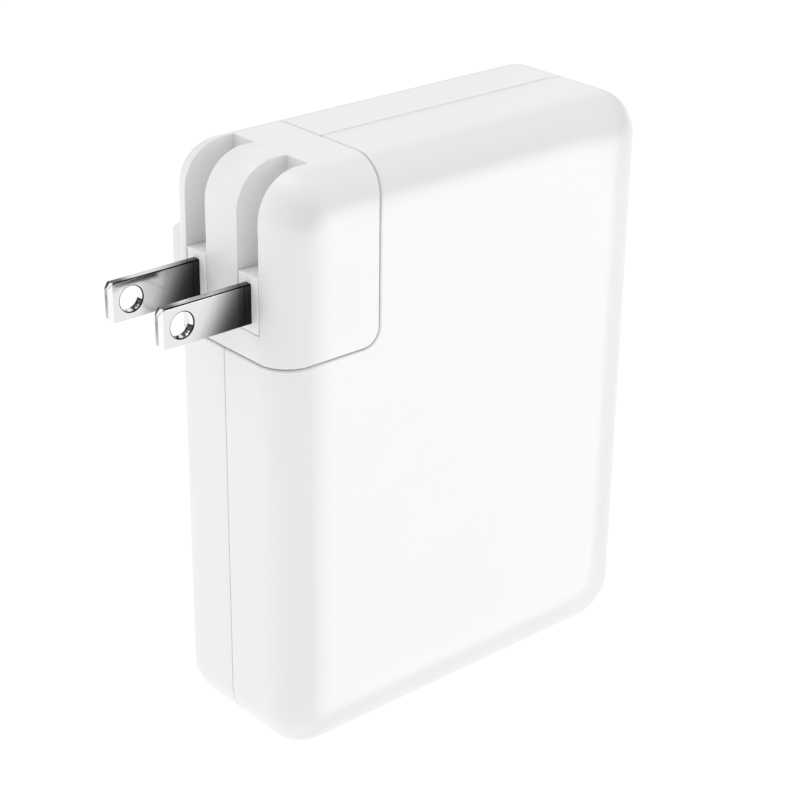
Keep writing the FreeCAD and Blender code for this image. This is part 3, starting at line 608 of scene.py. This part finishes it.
def ease_normals(piece):
    """Adds to each normal of the outer skin what the longer turn asks for there."""
    mesh = piece.data
    corners = len(mesh.loops)
    vertex = np.empty(corners, dtype=np.int32)
    mesh.loops.foreach_get("vertex_index", vertex)
    point = np.empty(len(mesh.vertices) * 3)
    mesh.vertices.foreach_get("co", point)
    point = point.reshape(-1, 3)
    normal = np.empty(corners * 3, dtype=np.float32)
    mesh.corner_normals.foreach_get("vector", normal)
    normal = normal.reshape(-1, 3).astype(float)
    place = point[:, [0, 2]]
    true = edge_distance(place)
    angle = np.arccos(np.clip(1.0 - true / EDGE_R, 0.0, 1.0))
    eased = eased_distance(place)
    eased_angle = np.arccos(np.clip(1.0 - eased / EDGE_R, 0.0, 1.0))
    way = EDGE_R * eased_angle + np.maximum(eased - EDGE_R, 0.0)
    soft_angle = math.pi / 2 * np.clip(way / TURN_LENGTH, 0.0, 1.0)
    side = np.sign(point[:, 1])
    hard_out = outward(edge_distance, place)
    soft_out = outward(eased_distance, place)
    hard = np.stack(
        [np.cos(angle) * hard_out[:, 0], side * np.sin(angle), np.cos(angle) * hard_out[:, 1]], axis=1
    )
    soft = np.stack(
        [
            np.cos(soft_angle) * soft_out[:, 0],
            side * np.sin(soft_angle),
            np.cos(soft_angle) * soft_out[:, 1],
        ],
        axis=1,
    )
    on_skin = np.abs(np.abs(point[:, 1]) - (BACK - quarter(true, EDGE_R))) < SEAM_EDGE * 1.2
    change = np.where(on_skin[:, None], soft - hard, 0.0)
    normal += change[vertex] * (np.abs(np.sum(normal * hard[vertex], axis=1)) > 0.3)[:, None]
    normal /= np.linalg.norm(normal, axis=1)[:, None]
    mesh.normals_split_custom_set(normal.tolist())
    return int(on_skin.sum())


# %% Turning rows of points into a closed mesh
def shaded_object(name, points, faces, material, sharp=35.0):
    """Mesh object from points and faces, doubles merged, normals outwards, smooth but for creases."""
    mesh = bpy.data.meshes.new(name)
    mesh.from_pydata(points.tolist(), [], faces)
    work = bmesh.new()
    work.from_mesh(mesh)
    bmesh.ops.remove_doubles(work, verts=work.verts, dist=2e-7)
    bmesh.ops.dissolve_degenerate(work, edges=work.edges, dist=2e-7)
    bmesh.ops.recalc_face_normals(work, faces=work.faces)
    work.to_mesh(mesh)
    work.free()
    mesh.shade_smooth()
    mesh.set_sharp_from_angle(angle=math.radians(sharp))
    mesh.materials.append(material)
    piece = bpy.data.objects.new(name, mesh)
    bpy.context.scene.collection.objects.link(piece)
    return piece


def lofted(name, rows, material, sharp=35.0):
    """Closed surface through rings of equal length, with a flat cap at the first and last."""
    rows = np.asarray(rows)
    count, size = rows.shape[:2]
    index = np.arange(count * size).reshape(count, size)
    around = np.roll(index, -1, axis=1)
    quads = np.stack([index[:-1], around[:-1], around[1:], index[1:]], axis=-1).reshape(-1, 4)
    faces = quads.tolist() + [index[0].tolist(), index[-1][::-1].tolist()]
    return shaded_object(name, rows.reshape(-1, 3), faces, material, sharp)


def at_depth(place, y):
    """Places of an outline as points at depth y, one value or one for each place."""
    return np.stack([place[:, 0], np.broadcast_to(y, len(place)), place[:, 1]], axis=-1)


def cut_out(piece, cutters):
    """Takes closed cutters out of a piece and keeps the result as its own mesh."""
    for cutter in cutters:
        modifier = piece.modifiers.new("cut", "BOOLEAN")
        modifier.operation = "DIFFERENCE"
        modifier.solver = "EXACT"
        modifier.object = cutter
    graph = bpy.context.evaluated_depsgraph_get()
    mesh = bpy.data.meshes.new_from_object(piece.evaluated_get(graph))
    piece.modifiers.clear()
    piece.data = mesh
    for cutter in cutters:
        bpy.data.objects.remove(cutter)
    return piece


# %% [markdown]
# ## The two half shells
# Each half is one profile carried round the L-shaped outline: across the broad face's edge, down
# the narrow side, round a tiny edge at the parting line, in along the rim, round the tongue or
# the groove that locates the other half, and back along the inside of the wall. A boolean of
# the engineering solids would give the same shape with long thin facets, but the carried
# profile gives even rings, which shade smoothly.

# %% Casing outline
RECESS_X = SEAM_X + SEAM_GAP
RECESS_Z = SEAM_Z - SEAM_GAP
casing_corners = [
    (LEFT, 0.0, CORNER_R),
    (RIGHT, 0.0, CORNER_R),
    (RIGHT, TOP, CORNER_R),
    (RECESS_X, TOP, 0.0),
    (RECESS_X, RECESS_Z, SEAM_R + SEAM_GAP),
    (LEFT, RECESS_Z, 0.0),
]
NEAR_SEAM = FILLET_INSET[1:]
casing_marks = [
    shares(RIGHT - LEFT, between=8),
    shares(TOP, between=8),
    shares(RIGHT - RECESS_X - CORNER_R, from_end=NEAR_SEAM),
    shares(TOP - RECESS_Z - SEAM_R, from_start=NEAR_SEAM),
    shares(RECESS_X - LEFT - SEAM_R, from_end=NEAR_SEAM),
    shares(RECESS_Z - CORNER_R, from_start=NEAR_SEAM, between=8),
]


def casing_ring(inset):
    return ring(casing_corners, casing_marks, inset)


def casing_seam(place):
    return np.maximum(seam_distance(place, RECESS_X, RECESS_Z, SEAM_R + SEAM_GAP, False), 0.0)


# %% Casing halves
EASED_INSETS = EDGE_R + np.linspace(EASE + 0.3 * MM, 0.0, 9)[:-1]
PARTING_STEPS = 4


def half_shell(name, side, tongue):
    """One half: rings from the broad face to the parting line and back along the inside."""
    insets = np.concatenate([EASED_INSETS, FILLET_INSET[::-1]])
    rows = [skin(casing_ring(inset), side, casing_seam) for inset in insets]
    rim = rows[-1]
    lip = side * (PARTING + PARTING_EDGE)
    for share in np.linspace(0.0, 1.0, 6)[1:]:
        rows.append(np.stack([rim[:, 0], rim[:, 1] + share * (lip - rim[:, 1]), rim[:, 2]], axis=-1))
    outline = casing_ring(0.0)
    for angle in np.linspace(0.0, math.pi / 2, PARTING_STEPS)[1:]:
        inset = PARTING_EDGE * (1.0 - math.cos(angle))
        shift = casing_ring(inset) - outline
        y = side * (PARTING + PARTING_EDGE * (1.0 - math.sin(angle)))
        rows.append(at_depth(rim[:, [0, 2]] + shift, y))
    if tongue:
        shoulder = WALL - TONGUE_T
        reach = -TONGUE_H
    else:
        shoulder = WALL - TONGUE_T - TONGUE_CLEAR
        reach = -TONGUE_H - TONGUE_CLEAR
    inner_depth = side * (BACK - EDGE_R)
    rows += [
        at_depth(casing_ring(shoulder), side * PARTING),
        at_depth(casing_ring(shoulder), reach),
        at_depth(casing_ring(WALL), reach),
        at_depth(casing_ring(WALL), inner_depth),
        at_depth(casing_ring(EDGE_R + 0.2 * MM), side * (BACK - WALL)),
    ]
    return lofted(name, rows, casing_white)


casing_front = half_shell("casing_front", -1.0, False)
casing_back = half_shell("casing_back", 1.0, True)
print("half shells:", len(casing_front.data.polygons), len(casing_back.data.polygons), "faces")

# %% [markdown]
# Two openings go through both halves: the oval mouth of the output port, and the two-lobed
# opening over the mains inlet in the floor of the recess. Each is a bar with that section, used
# as a cutter where the wall is flat, so the smooth rings elsewhere are untouched.

# %% Openings in the casing
def bar(name, section, direction, start, end):
    """Closed bar: a flat section (a, b) carried along one axis from start to end."""
    first = np.insert(section, direction, start, axis=1)
    last = np.insert(section, direction, end, axis=1)
    return lofted(name, [first, last], inner_white)


def stadium(centre, half_wide, half_long, steps=16):
    """Round-ended section: two half circles joined by straight sides."""
    angle = np.linspace(-math.pi / 2, math.pi / 2, steps + 1)
    cap = np.stack([half_wide * np.sin(angle), half_wide * np.cos(angle)], axis=1)
    straight = half_long - half_wide
    top = cap[::-1] + (0.0, straight)
    low = -cap[::-1] - (0.0, straight)
    return np.concatenate([top, low]) + centre


def two_lobes(centre_x, half_wide, half_long, steps=40):
    """Two circles side by side, joined by a waist of 0.8 of their width."""
    along = half_long * np.sin(np.linspace(-math.pi / 2, math.pi / 2, steps + 1))
    lobe = half_long - half_wide
    wide = np.sqrt(np.maximum(half_wide**2 - (np.abs(along) - lobe) ** 2, 0.0))
    wide = np.where(np.abs(along) < lobe, np.maximum(wide, 0.8 * half_wide), wide)
    near = np.stack([centre_x + wide, along], axis=1)
    far = np.stack([centre_x - wide, along], axis=1)[::-1]
    return np.concatenate([near, far[1:-1]])


PORT_MARGIN = 0.25 * MM
port_centre = (0.0, (can_low.z + can_high.z) / 2)
port_half = ((can_high.y - can_low.y) / 2 + PORT_MARGIN, (can_high.z - can_low.z) / 2 + PORT_MARGIN)
cup_x = (cup_low.x + cup_high.x) / 2
cup_half = ((cup_high.x - cup_low.x) / 2, (cup_high.y - cup_low.y) / 2)
for half in (casing_front, casing_back):
    mouth = bar("mouth", stadium(port_centre, *port_half), 0, RIGHT - 3 * WALL, RIGHT + WALL)
    inlet = bar("inlet", two_lobes(cup_x, *cup_half), 2, RECESS_Z - 2 * WALL, RECESS_Z + WALL)
    cut_out(half, [mouth, inlet])
for half in (casing_front, casing_back):
    print(half.name, "eased points:", ease_normals(half))
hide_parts("front_shell")
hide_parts("back_shell")
for half in (casing_front, casing_back):
    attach(half, "casing")

# %% [markdown]
# ## The plug module
# The module is carried round its own outline in one go, from the front face to the back. In the
# stretch of the outline that has the blade slots, the profile dips in: over a soft slot edge,
# down the slot's wall, across its floor or back, and up again to the rib between the slots.
# Outside that stretch the dip has no depth, and its points merge away. The slot's back and floor
# stand a hair proud of the cradle behind them, because two faces in one plane flicker.

# %% Module outline with the slots' stretch
SLOT_DEPTH = 9.4 * MM
PROUD_OF_CRADLE = 0.05 * MM
SLOT_BACK = LEFT + SLOT_DEPTH - PROUD_OF_CRADLE
SLOT_FLOOR = hub_low.z - 0.12 * MM + PROUD_OF_CRADLE
SLOT_WIDTH = 5.0 * MM
SLOT_EDGE = 0.1 * MM
SLOT_MID = -(blade_low.y + blade_high.y) / 2
SLOT_NEAR = SLOT_MID - SLOT_WIDTH / 2
MODULE_FLAT = (SEAM_X - LEFT) / 2 - 0.4 * MM
SLOT_FAR = SLOT_MID + SLOT_WIDTH / 2
module_corners = [
    (LEFT, SEAM_Z, 0.0),
    (SEAM_X, SEAM_Z, SEAM_R),
    (SEAM_X, TOP, 0.0),
    (LEFT, TOP, MODULE_CORNER_R),
]
top_run = SEAM_X - LEFT - MODULE_CORNER_R
side_run = TOP - SEAM_Z - MODULE_CORNER_R
slot_from_seam = SEAM_X - SLOT_BACK
floor_from_seam = SLOT_FLOOR - SEAM_Z
module_marks = [
    shares(SEAM_X - LEFT - SEAM_R, from_start=NEAR_SEAM),
    shares(TOP - SEAM_Z - SEAM_R, from_end=NEAR_SEAM),
    np.sort(
        np.concatenate(
            [
                NEAR_SEAM / top_run,
                np.array([slot_from_seam - SLOT_EDGE, slot_from_seam]) / top_run,
                np.array([0.7, 0.85]),
            ]
        )
    ),
    np.sort(
        np.concatenate(
            [
                np.linspace(0.1, 0.6, 6),
                1.0 - np.array([floor_from_seam, floor_from_seam - SLOT_EDGE]) / side_run,
                1.0 - NEAR_SEAM[NEAR_SEAM < floor_from_seam - 2 * SLOT_EDGE] / side_run,
            ]
        )
    ),
]


def module_ring(inset):
    return ring(module_corners, module_marks, inset)


def module_seam(place):
    return np.maximum(seam_distance(place, SEAM_X, SEAM_Z, SEAM_R, True), 0.0)


module_outline = module_ring(0.0)
tiny = 1e-3 * MM
in_slot = (module_outline[:, 0] < SLOT_BACK + tiny) & (module_outline[:, 1] > SLOT_FLOOR - tiny)
stretch = np.flatnonzero(in_slot)
print("slot stretch:", len(stretch), "of", len(module_outline), "points")


# %% The slot's floor and back wall, point by point along the stretch
def slot_inner():
    """Inner corner line of a slot for each outline point.

    The first half of the stretch runs down the back wall from the top to the inner corner, the
    second half runs out along the floor to the plug side.
    """
    inner = module_outline.copy()
    half = len(stretch) // 2
    down = np.linspace(TOP - SLOT_EDGE, SLOT_FLOOR, half)
    out = np.linspace(SLOT_BACK, LEFT + SLOT_EDGE, len(stretch) - half + 1)[1:]
    inner[stretch[:half]] = np.stack([np.full(half, SLOT_BACK), down], axis=1)
    inner[stretch[half:]] = np.stack([out, np.full(len(out), SLOT_FLOOR)], axis=1)
    return inner


def slot_rows(rim_plan, inner, wall, towards):
    """Rows over a slot edge and down its wall; towards is the side the slot lies on."""
    rows = []
    outline = module_outline
    for angle in np.linspace(0.0, math.pi / 2, 4):
        inset = SLOT_EDGE * (1.0 - math.cos(angle))
        shift = np.where(in_slot[:, None], module_ring(inset) - outline, 0.0)
        rows.append(at_depth(rim_plan + shift, wall - towards * SLOT_EDGE * (1.0 - math.sin(angle))))
    rows.append(at_depth(np.where(in_slot[:, None], inner, rim_plan), wall))
    return rows


def module_rows():
    """All rings of the module, from the front cap to the back cap."""
    eased = EDGE_R + np.linspace(MODULE_FLAT - EDGE_R, 0.0, 9)[:-1]
    insets = np.concatenate([eased, FILLET_INSET[::-1]])
    front_rows = [skin(module_ring(inset), -1.0, module_seam) for inset in insets]
    back_rows = [skin(module_ring(inset), 1.0, module_seam) for inset in insets]
    limit = SLOT_FAR + SLOT_EDGE + tiny
    front_rows[-1][:, 1] = np.minimum(front_rows[-1][:, 1], -limit)
    back_rows[-1][:, 1] = np.maximum(back_rows[-1][:, 1], limit)
    rim_plan = front_rows[-1][:, [0, 2]]
    inner = slot_inner()
    rows = front_rows
    for near, far in ((-SLOT_FAR, -SLOT_NEAR), (SLOT_NEAR, SLOT_FAR)):
        rows += slot_rows(rim_plan, inner, near, 1.0)
        rows += slot_rows(rim_plan, inner, far, -1.0)[::-1]
    return rows + back_rows[::-1]


module_cap = lofted("module_cap", module_rows(), module_white)
print("module:", len(module_cap.data.polygons), "faces")

# %% [markdown]
# The module's inner side holds a cover with a channel for the casing's stud, and its underside
# holds the boss that enters the inlet. Both seats are flat, so they are cut out with plain bars
# that match the parts that sit in them.

# %% Seats for the inner cover and the inlet boss
SEAT = 0.1 * MM


def rounded_section(low, high, radius):
    """Rectangle (a, b) with one radius at every corner."""
    corners = [(low[0], low[1], radius), (high[0], low[1], radius), (high[0], high[1], radius)]
    corners.append((low[0], high[1], radius))
    return ring(corners, [np.array([0.5])] * 4, 0.0)


cover_floor = SEAM_Z + 3.2 * MM
channel_half = (stud_high.y - stud_low.y) / 2 + 1.2 * MM
stud_z = (stud_low.z + stud_high.z) / 2
channel_top = stud_z + channel_half + SEAT
cover_seat = bar(
    "cover_seat",
    rounded_section((cover_low.y - SEAT, cover_floor), (cover_high.y + SEAT, cover_high.z + SEAT), 3.4 * MM),
    0,
    SEAM_X - 2.0 * MM - SEAT,
    SEAM_X + WALL,
)
channel_seat = bar(
    "channel_seat",
    rounded_section((-channel_half, SEAM_Z - WALL), (channel_half, channel_top), 0.05 * MM),
    0,
    cover_low.x - SEAT,
    SEAM_X + WALL,
)
flange_seat = bar(
    "flange_seat",
    rounded_section(
        (flange_low.x - SEAT, flange_low.y - SEAT), (flange_high.x + SEAT, flange_high.y + SEAT), 1.0 * MM
    ),
    2,
    SEAM_Z - WALL,
    flange_high.z + SEAT / 2,
)
cut_out(module_cap, [cover_seat, channel_seat, flange_seat])
print(module_cap.name, "eased points:", ease_normals(module_cap))
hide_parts("plug_shell")
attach(module_cap, "plug_module")


# %% [markdown]
# ## Plates with soft edges
# The thumb pad, the blade hubs and their crossbar are small moulded blocks. A block is an
# outline carried through its thickness, drawn in along a quarter circle at both faces.

# %% A soft-edged plate
def soft_plate(name, corners, near, far, soft, material, steps=5, soft_far=True):
    """Plate between depths near and far, with a quarter-circle edge at its faces."""
    marks = [np.linspace(0.0, 1.0, 4)[1:-1]] * len(corners)
    angles = np.linspace(0.0, math.pi / 2, steps)
    insets = soft * (1.0 - np.cos(angles))
    drops = soft * (1.0 - np.sin(angles))
    first = [at_depth(ring(corners, marks, i), near + d) for i, d in zip(insets[::-1], drops[::-1])]
    flat = [at_depth(ring(corners, marks, soft * 1.8), near)]
    if soft_far:
        last = [at_depth(ring(corners, marks, i), far - d) for i, d in zip(insets, drops)]
        last.append(at_depth(ring(corners, marks, soft * 1.8), far))
    else:
        last = [at_depth(ring(corners, marks, 0.0), far)]
    return lofted(name, flat + first + last, material)


# %% Thumb pad
PAD_X = LEFT + 1.8 * MM
PAD_Z = SEAM_Z + 1.6 * MM
PAD_LENGTH = 7.0 * MM
PAD_HEIGHT = 13.2 * MM
PAD_SOFT = 0.7 * MM
pad_corners = [
    (PAD_X, PAD_Z, 1.4 * MM),
    (PAD_X + PAD_LENGTH, PAD_Z, 1.4 * MM),
    (PAD_X + PAD_LENGTH, PAD_Z + PAD_HEIGHT, 1.4 * MM),
    (PAD_X, PAD_Z + PAD_HEIGHT, 1.4 * MM),
]
thumb_pad = soft_plate("thumb_pad", pad_corners, BACK - EDGE_R / 2, module_high.y, PAD_SOFT, module_white)
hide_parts("plug_shell")
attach(thumb_pad, "plug_module")

# %% Hubs and crossbar
HUB_SOFT = 0.12 * MM
PIVOT_R = 3.4 * MM
HUB_HALF = hub_high.y - SLOT_MID
PIVOT = Vector((LEFT + PIVOT_R, 0.0, hub_low.z + PIVOT_R))
hub_corners = [
    (LEFT, hub_low.z, HUB_SOFT),
    (hub_high.x, hub_low.z, PIVOT_R - HUB_SOFT),
    (hub_high.x, hub_high.z, 0.4 * MM),
    (LEFT, hub_high.z, HUB_SOFT),
]
hub_pieces = [
    soft_plate("hub_" + word, hub_corners, y - HUB_HALF, y + HUB_HALF, HUB_SOFT, hub_white)
    for word, y in (("front", -SLOT_MID), ("back", SLOT_MID))
]
turn = np.linspace(0.0, 2.0 * math.pi, 48, endpoint=False)
bar_section = np.stack([PIVOT.x + 2.2 * MM * np.cos(turn), PIVOT.z + 2.2 * MM * np.sin(turn)], axis=1)
crossbar_rows = [at_depth(bar_section, y) for y in (-SLOT_NEAR, -SLOT_NEAR / 2, SLOT_NEAR / 2, SLOT_NEAR)]
crossbar = lofted("crossbar", crossbar_rows, hub_white)
for piece in hub_pieces + [crossbar]:
    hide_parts("blade_carrier")
    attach(piece, "blades")
print("hub half width", round(HUB_HALF / MM, 3), "mm")

# %% [markdown]
# ## The blades
# A blade is stamped from flat bar. Its tip has clipped corners and a long chamfer on both broad
# faces, and the round lock hole has a countersunk rim. Every point of a broad face lies on a
# straight ray from the hole's centre to the outline, so the face is a grid of angle and ray.
# The grid goes on round the edge, over the other face and back through the hole, and closes on
# itself like a ring.

# %% One blade
BLADE_TIP = blade_low.x
BLADE_HALF_T = 0.75 * MM
TIP_CHAMFER = 0.7 * MM
TIP_DEPTH = 0.36 * MM
TIP_CLIP = 0.85 * MM
HOLE_R = 2.0 * MM
HOLE_FROM_TIP = 3.9 * MM
RIM = 0.18 * MM
LONG_SOFT = 0.24 * MM
TIP_SOFT = 0.08 * MM
RIM_FLAT = 0.05 * MM
BLADE_END = LEFT + 1.4 * MM
HOLE_X = BLADE_TIP + HOLE_FROM_TIP


def blade_outline(share, extra=0.0):
    """Corners of the blade's outline drawn in by a share of its edge rounds, plus extra.

    The long edges have a wide round and the tip and its clips a narrow one, so the corners
    between them are worked out from both.
    """
    tip_in = share * TIP_SOFT + extra
    long_in = share * LONG_SOFT + extra
    x0, x1 = BLADE_TIP + tip_in, BLADE_END - extra
    h = BLADE_HALF_H - long_in
    on_tip = BLADE_HALF_H - TIP_CLIP - tip_in * (math.sqrt(2.0) - 1.0)
    on_long = BLADE_TIP + TIP_CLIP + math.sqrt(2.0) * tip_in - long_in
    return np.array([(x0, -on_tip), (on_long, -h), (x1, -h), (x1, h), (on_long, h), (x0, on_tip)])


def ray_hits(angle, corners):
    """Distance from the hole's centre to the outline along each angle, and which edge is hit."""
    run = np.roll(corners, -1, axis=0) - corners
    ray = np.stack([np.cos(angle), np.sin(angle)], axis=1)
    start = corners - (HOLE_X, 0.0)
    cross = ray[:, None, 0] * run[None, :, 1] - ray[:, None, 1] * run[None, :, 0]
    cross = np.where(np.abs(cross) < 1e-12, np.inf, cross)
    reach = (start[:, 0] * run[:, 1] - start[:, 1] * run[:, 0])[None, :] / cross
    share = (start[None, :, 0] * ray[:, None, 1] - start[None, :, 1] * ray[:, None, 0]) / cross
    on_edge = (reach > 0.0) & (share > -1e-4) & (share < 1.0 + 1e-4)
    reach = np.where(on_edge, reach, np.inf)
    return reach.min(axis=1), reach.argmin(axis=1)


def blade_piece(name, y):
    """Grid of angle round the hole and steps along a closed path over both faces."""
    corners = blade_outline(0.0)
    fold_x = BLADE_TIP + TIP_CHAMFER
    fold = np.array([(fold_x, -BLADE_HALF_H), (fold_x, BLADE_HALF_H)])
    marked = np.concatenate([corners, blade_outline(1.0), fold])
    special = np.arctan2(marked[:, 1], marked[:, 0] - HOLE_X)
    even = np.linspace(-math.pi, math.pi, 121)[:-1]
    angle = np.unique(np.round(np.concatenate([even, special]) % (2 * math.pi), 6))
    ray = np.stack([np.cos(angle), np.sin(angle)], axis=1)
    outer, edge = ray_hits(angle, corners)
    soft = np.where((edge == 1) | (edge == 3), LONG_SOFT, TIP_SOFT)
    flat = ray_hits(angle, blade_outline(1.0))[0]
    before = ray_hits(angle, blade_outline(1.0, RIM_FLAT))[0]
    towards_tip = np.minimum(ray[:, 0], -1e-9)
    to_fold = np.where(ray[:, 0] < 0.0, (fold_x - HOLE_X) / towards_tip, np.inf)

    def face_depth(reach):
        """Half thickness of the blade at a reach: less beyond the fold towards the tip."""
        x = HOLE_X + reach * ray[:, 0]
        return BLADE_HALF_T - TIP_DEPTH * np.clip((fold_x - x) / TIP_CHAMFER, 0.0, 1.0)

    hole = np.full(len(angle), HOLE_R)
    steps = []
    for turn in np.linspace(0.0, math.pi / 2, 5):
        depth = BLADE_HALF_T - RIM * (1.0 - math.sin(turn))
        steps.append((hole + RIM * (1.0 - math.cos(turn)), np.full(len(angle), depth)))
    steps.append((hole + RIM + RIM_FLAT, face_depth(hole + RIM + RIM_FLAT)))
    for gap in (-RIM_FLAT / 2, RIM_FLAT / 2):
        near_fold = np.minimum(np.maximum(to_fold + gap, hole + 2 * RIM), before)
        steps.append((near_fold, face_depth(near_fold)))
    steps.append((before, face_depth(before)))
    for turn in np.linspace(0.0, math.pi / 2, 7):
        reach = flat + (outer - flat) * math.sin(turn)
        steps.append((reach, face_depth(flat) - soft * (1.0 - math.cos(turn))))
    rows = []
    for side, order in ((-1.0, steps), (1.0, steps[::-1])):
        for reach, depth in order:
            x = HOLE_X + reach * ray[:, 0]
            z = BLADE_MID_Z + reach * ray[:, 1]
            rows.append(np.stack([x, y + side * depth, z], axis=-1))
    rows = np.array(rows)
    count, size = rows.shape[:2]
    index = np.arange(count * size).reshape(count, size)
    around = np.roll(index, -1, axis=1)
    onward = np.roll(index, -1, axis=0)
    both = np.roll(around, -1, axis=0)
    quads = np.stack([index, around, both, onward], axis=-1).reshape(-1, 4).tolist()
    return shaded_object(name, rows.reshape(-1, 3), quads, nickel, sharp=24.0)


# %% [markdown]
# A stamped, polished blade mirrors its surroundings, so its edges show as thin dark and light
# lines of reflection. These reflections are painted too, as one number for each face: painted dark
# reflections along the upper long edges, round the hole, at one place in its bore and on the top
# face near the tip, painted highlights on the tip's chamfers, clipped corners and lower long edges,
# and a grey painted reflection on the sheared tip face.

# %% Painted reflections: how dark or light each face of a blade is
STRIP_PAINTED_DARK = (0.0024, 0.0045)
BORE_PAINTED_REFLECTION = math.radians(-32.0)
BORE_PAINTED_REFLECTION_HALF = math.radians(14.0)


def paint_plate_reflections(piece, y):
    """Writes 1 - tone of the painted reflections for every face, from the way it faces and its distance from
    tip and hole.
    """
    mesh = piece.data
    facing = np.empty(len(mesh.polygons) * 3)
    mesh.polygons.foreach_get("normal", facing)
    facing = facing.reshape(-1, 3)
    centre = np.empty(len(mesh.polygons) * 3)
    mesh.polygons.foreach_get("center", centre)
    centre = centre.reshape(-1, 3) - (BLADE_TIP, y, BLADE_MID_Z)
    broad = np.abs(facing[:, 1])
    round_edge = (broad > 0.08) & (broad < 0.985)
    share = np.clip(centre[:, 2] / BLADE_HALF_H, -1.0, 1.0)
    # tone is painted reflection: below 1 a painted dark reflection, above 1 a painted highlight
    tone = np.ones(len(facing))
    tip_face = (facing[:, 0] < -0.95) & (broad < 0.3)
    tone[tip_face] = np.interp(share[tip_face], (-0.9, 0.3, 0.6), (0.86, 0.40, 0.55))
    tone[(facing[:, 0] < -0.3) & (broad > 0.6)] = 1.18
    clip = (facing[:, 0] < -0.4) & (np.abs(facing[:, 2]) > 0.4) & (broad < 0.6)
    tone[clip] = 1.22
    along_edge = np.abs(share) > 0.9
    tone[round_edge & along_edge & (facing[:, 2] > 0.1) & ~clip] = 0.06
    tone[round_edge & along_edge & (facing[:, 2] < -0.1) & ~clip] = 1.2
    strip = facing[:, 2] > 0.985
    tone[strip] = np.interp(centre[strip, 0], STRIP_PAINTED_DARK, (0.12, 1.0))
    from_hole = np.hypot(centre[:, 0] - HOLE_FROM_TIP, centre[:, 2])
    in_hole = from_hole < HOLE_R + RIM
    tone[in_hole & round_edge] = 0.05
    bore = in_hole & ~round_edge
    turn = np.arctan2(centre[:, 2], centre[:, 0] - HOLE_FROM_TIP)
    tone[bore] = np.where(np.abs(turn[bore] - BORE_PAINTED_REFLECTION) < BORE_PAINTED_REFLECTION_HALF, 0.12, 1.2)
    mark = mesh.attributes.new("painted_reflection_shade", "FLOAT", "FACE")
    mark.data.foreach_set("value", 1.0 - tone)
    return int((tone != 1.0).sum())


for word, y in (("front", -SLOT_MID), ("back", SLOT_MID)):
    blade = blade_piece("plated_blade_" + word, y)
    painted_faces = paint_plate_reflections(blade, y)
    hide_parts("blade_" + word)
    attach(blade, "blades")
    print(blade.name, len(blade.data.polygons), "faces,", painted_faces, "with a shade of their own")

# %% [markdown]
# ## The stage
# The floor is a wide pale sheet that gives most of its light itself, so it stays white up to the
# object's foot. It neither lights the object nor blocks a lamp, but it is mirrored in the plate.
# A trace of grain keeps it from being one flat colour.

# %% Floor
FLOOR_HALF = 3.0
floor_white, floor_graph, floor_shader = new_material("floor_white")
floor_grain = object_noise(floor_graph, 40.0, 3.0)
floor_tone = tint(floor_graph, floor_grain, (0.10, 0.10, 0.10), (0.12, 0.12, 0.12))
floor_graph.links.new(floor_tone.outputs["Result"], floor_shader.inputs["Base Color"])
floor_shader.inputs["Roughness"].default_value = 0.7
floor_shader.inputs["Emission Color"].default_value = (1.0, 1.0, 1.0, 1.0)
floor_shader.inputs["Specular IOR Level"].default_value = 0.0
floor_shader.inputs["Emission Strength"].default_value = 0.97
floor_points = np.array([(-1.0, -1.0, 0.0), (1.0, -1.0, 0.0), (1.0, 1.0, 0.0), (-1.0, 1.0, 0.0)])
floor_mesh = bpy.data.meshes.new("floor")
floor_mesh.from_pydata((floor_points * FLOOR_HALF).tolist(), [], [(0, 1, 2, 3)])
floor_mesh.materials.append(floor_white)
floor = bpy.data.objects.new("floor", floor_mesh)
bpy.context.scene.collection.objects.link(floor)
floor.visible_diffuse = False
floor.visible_shadow = False
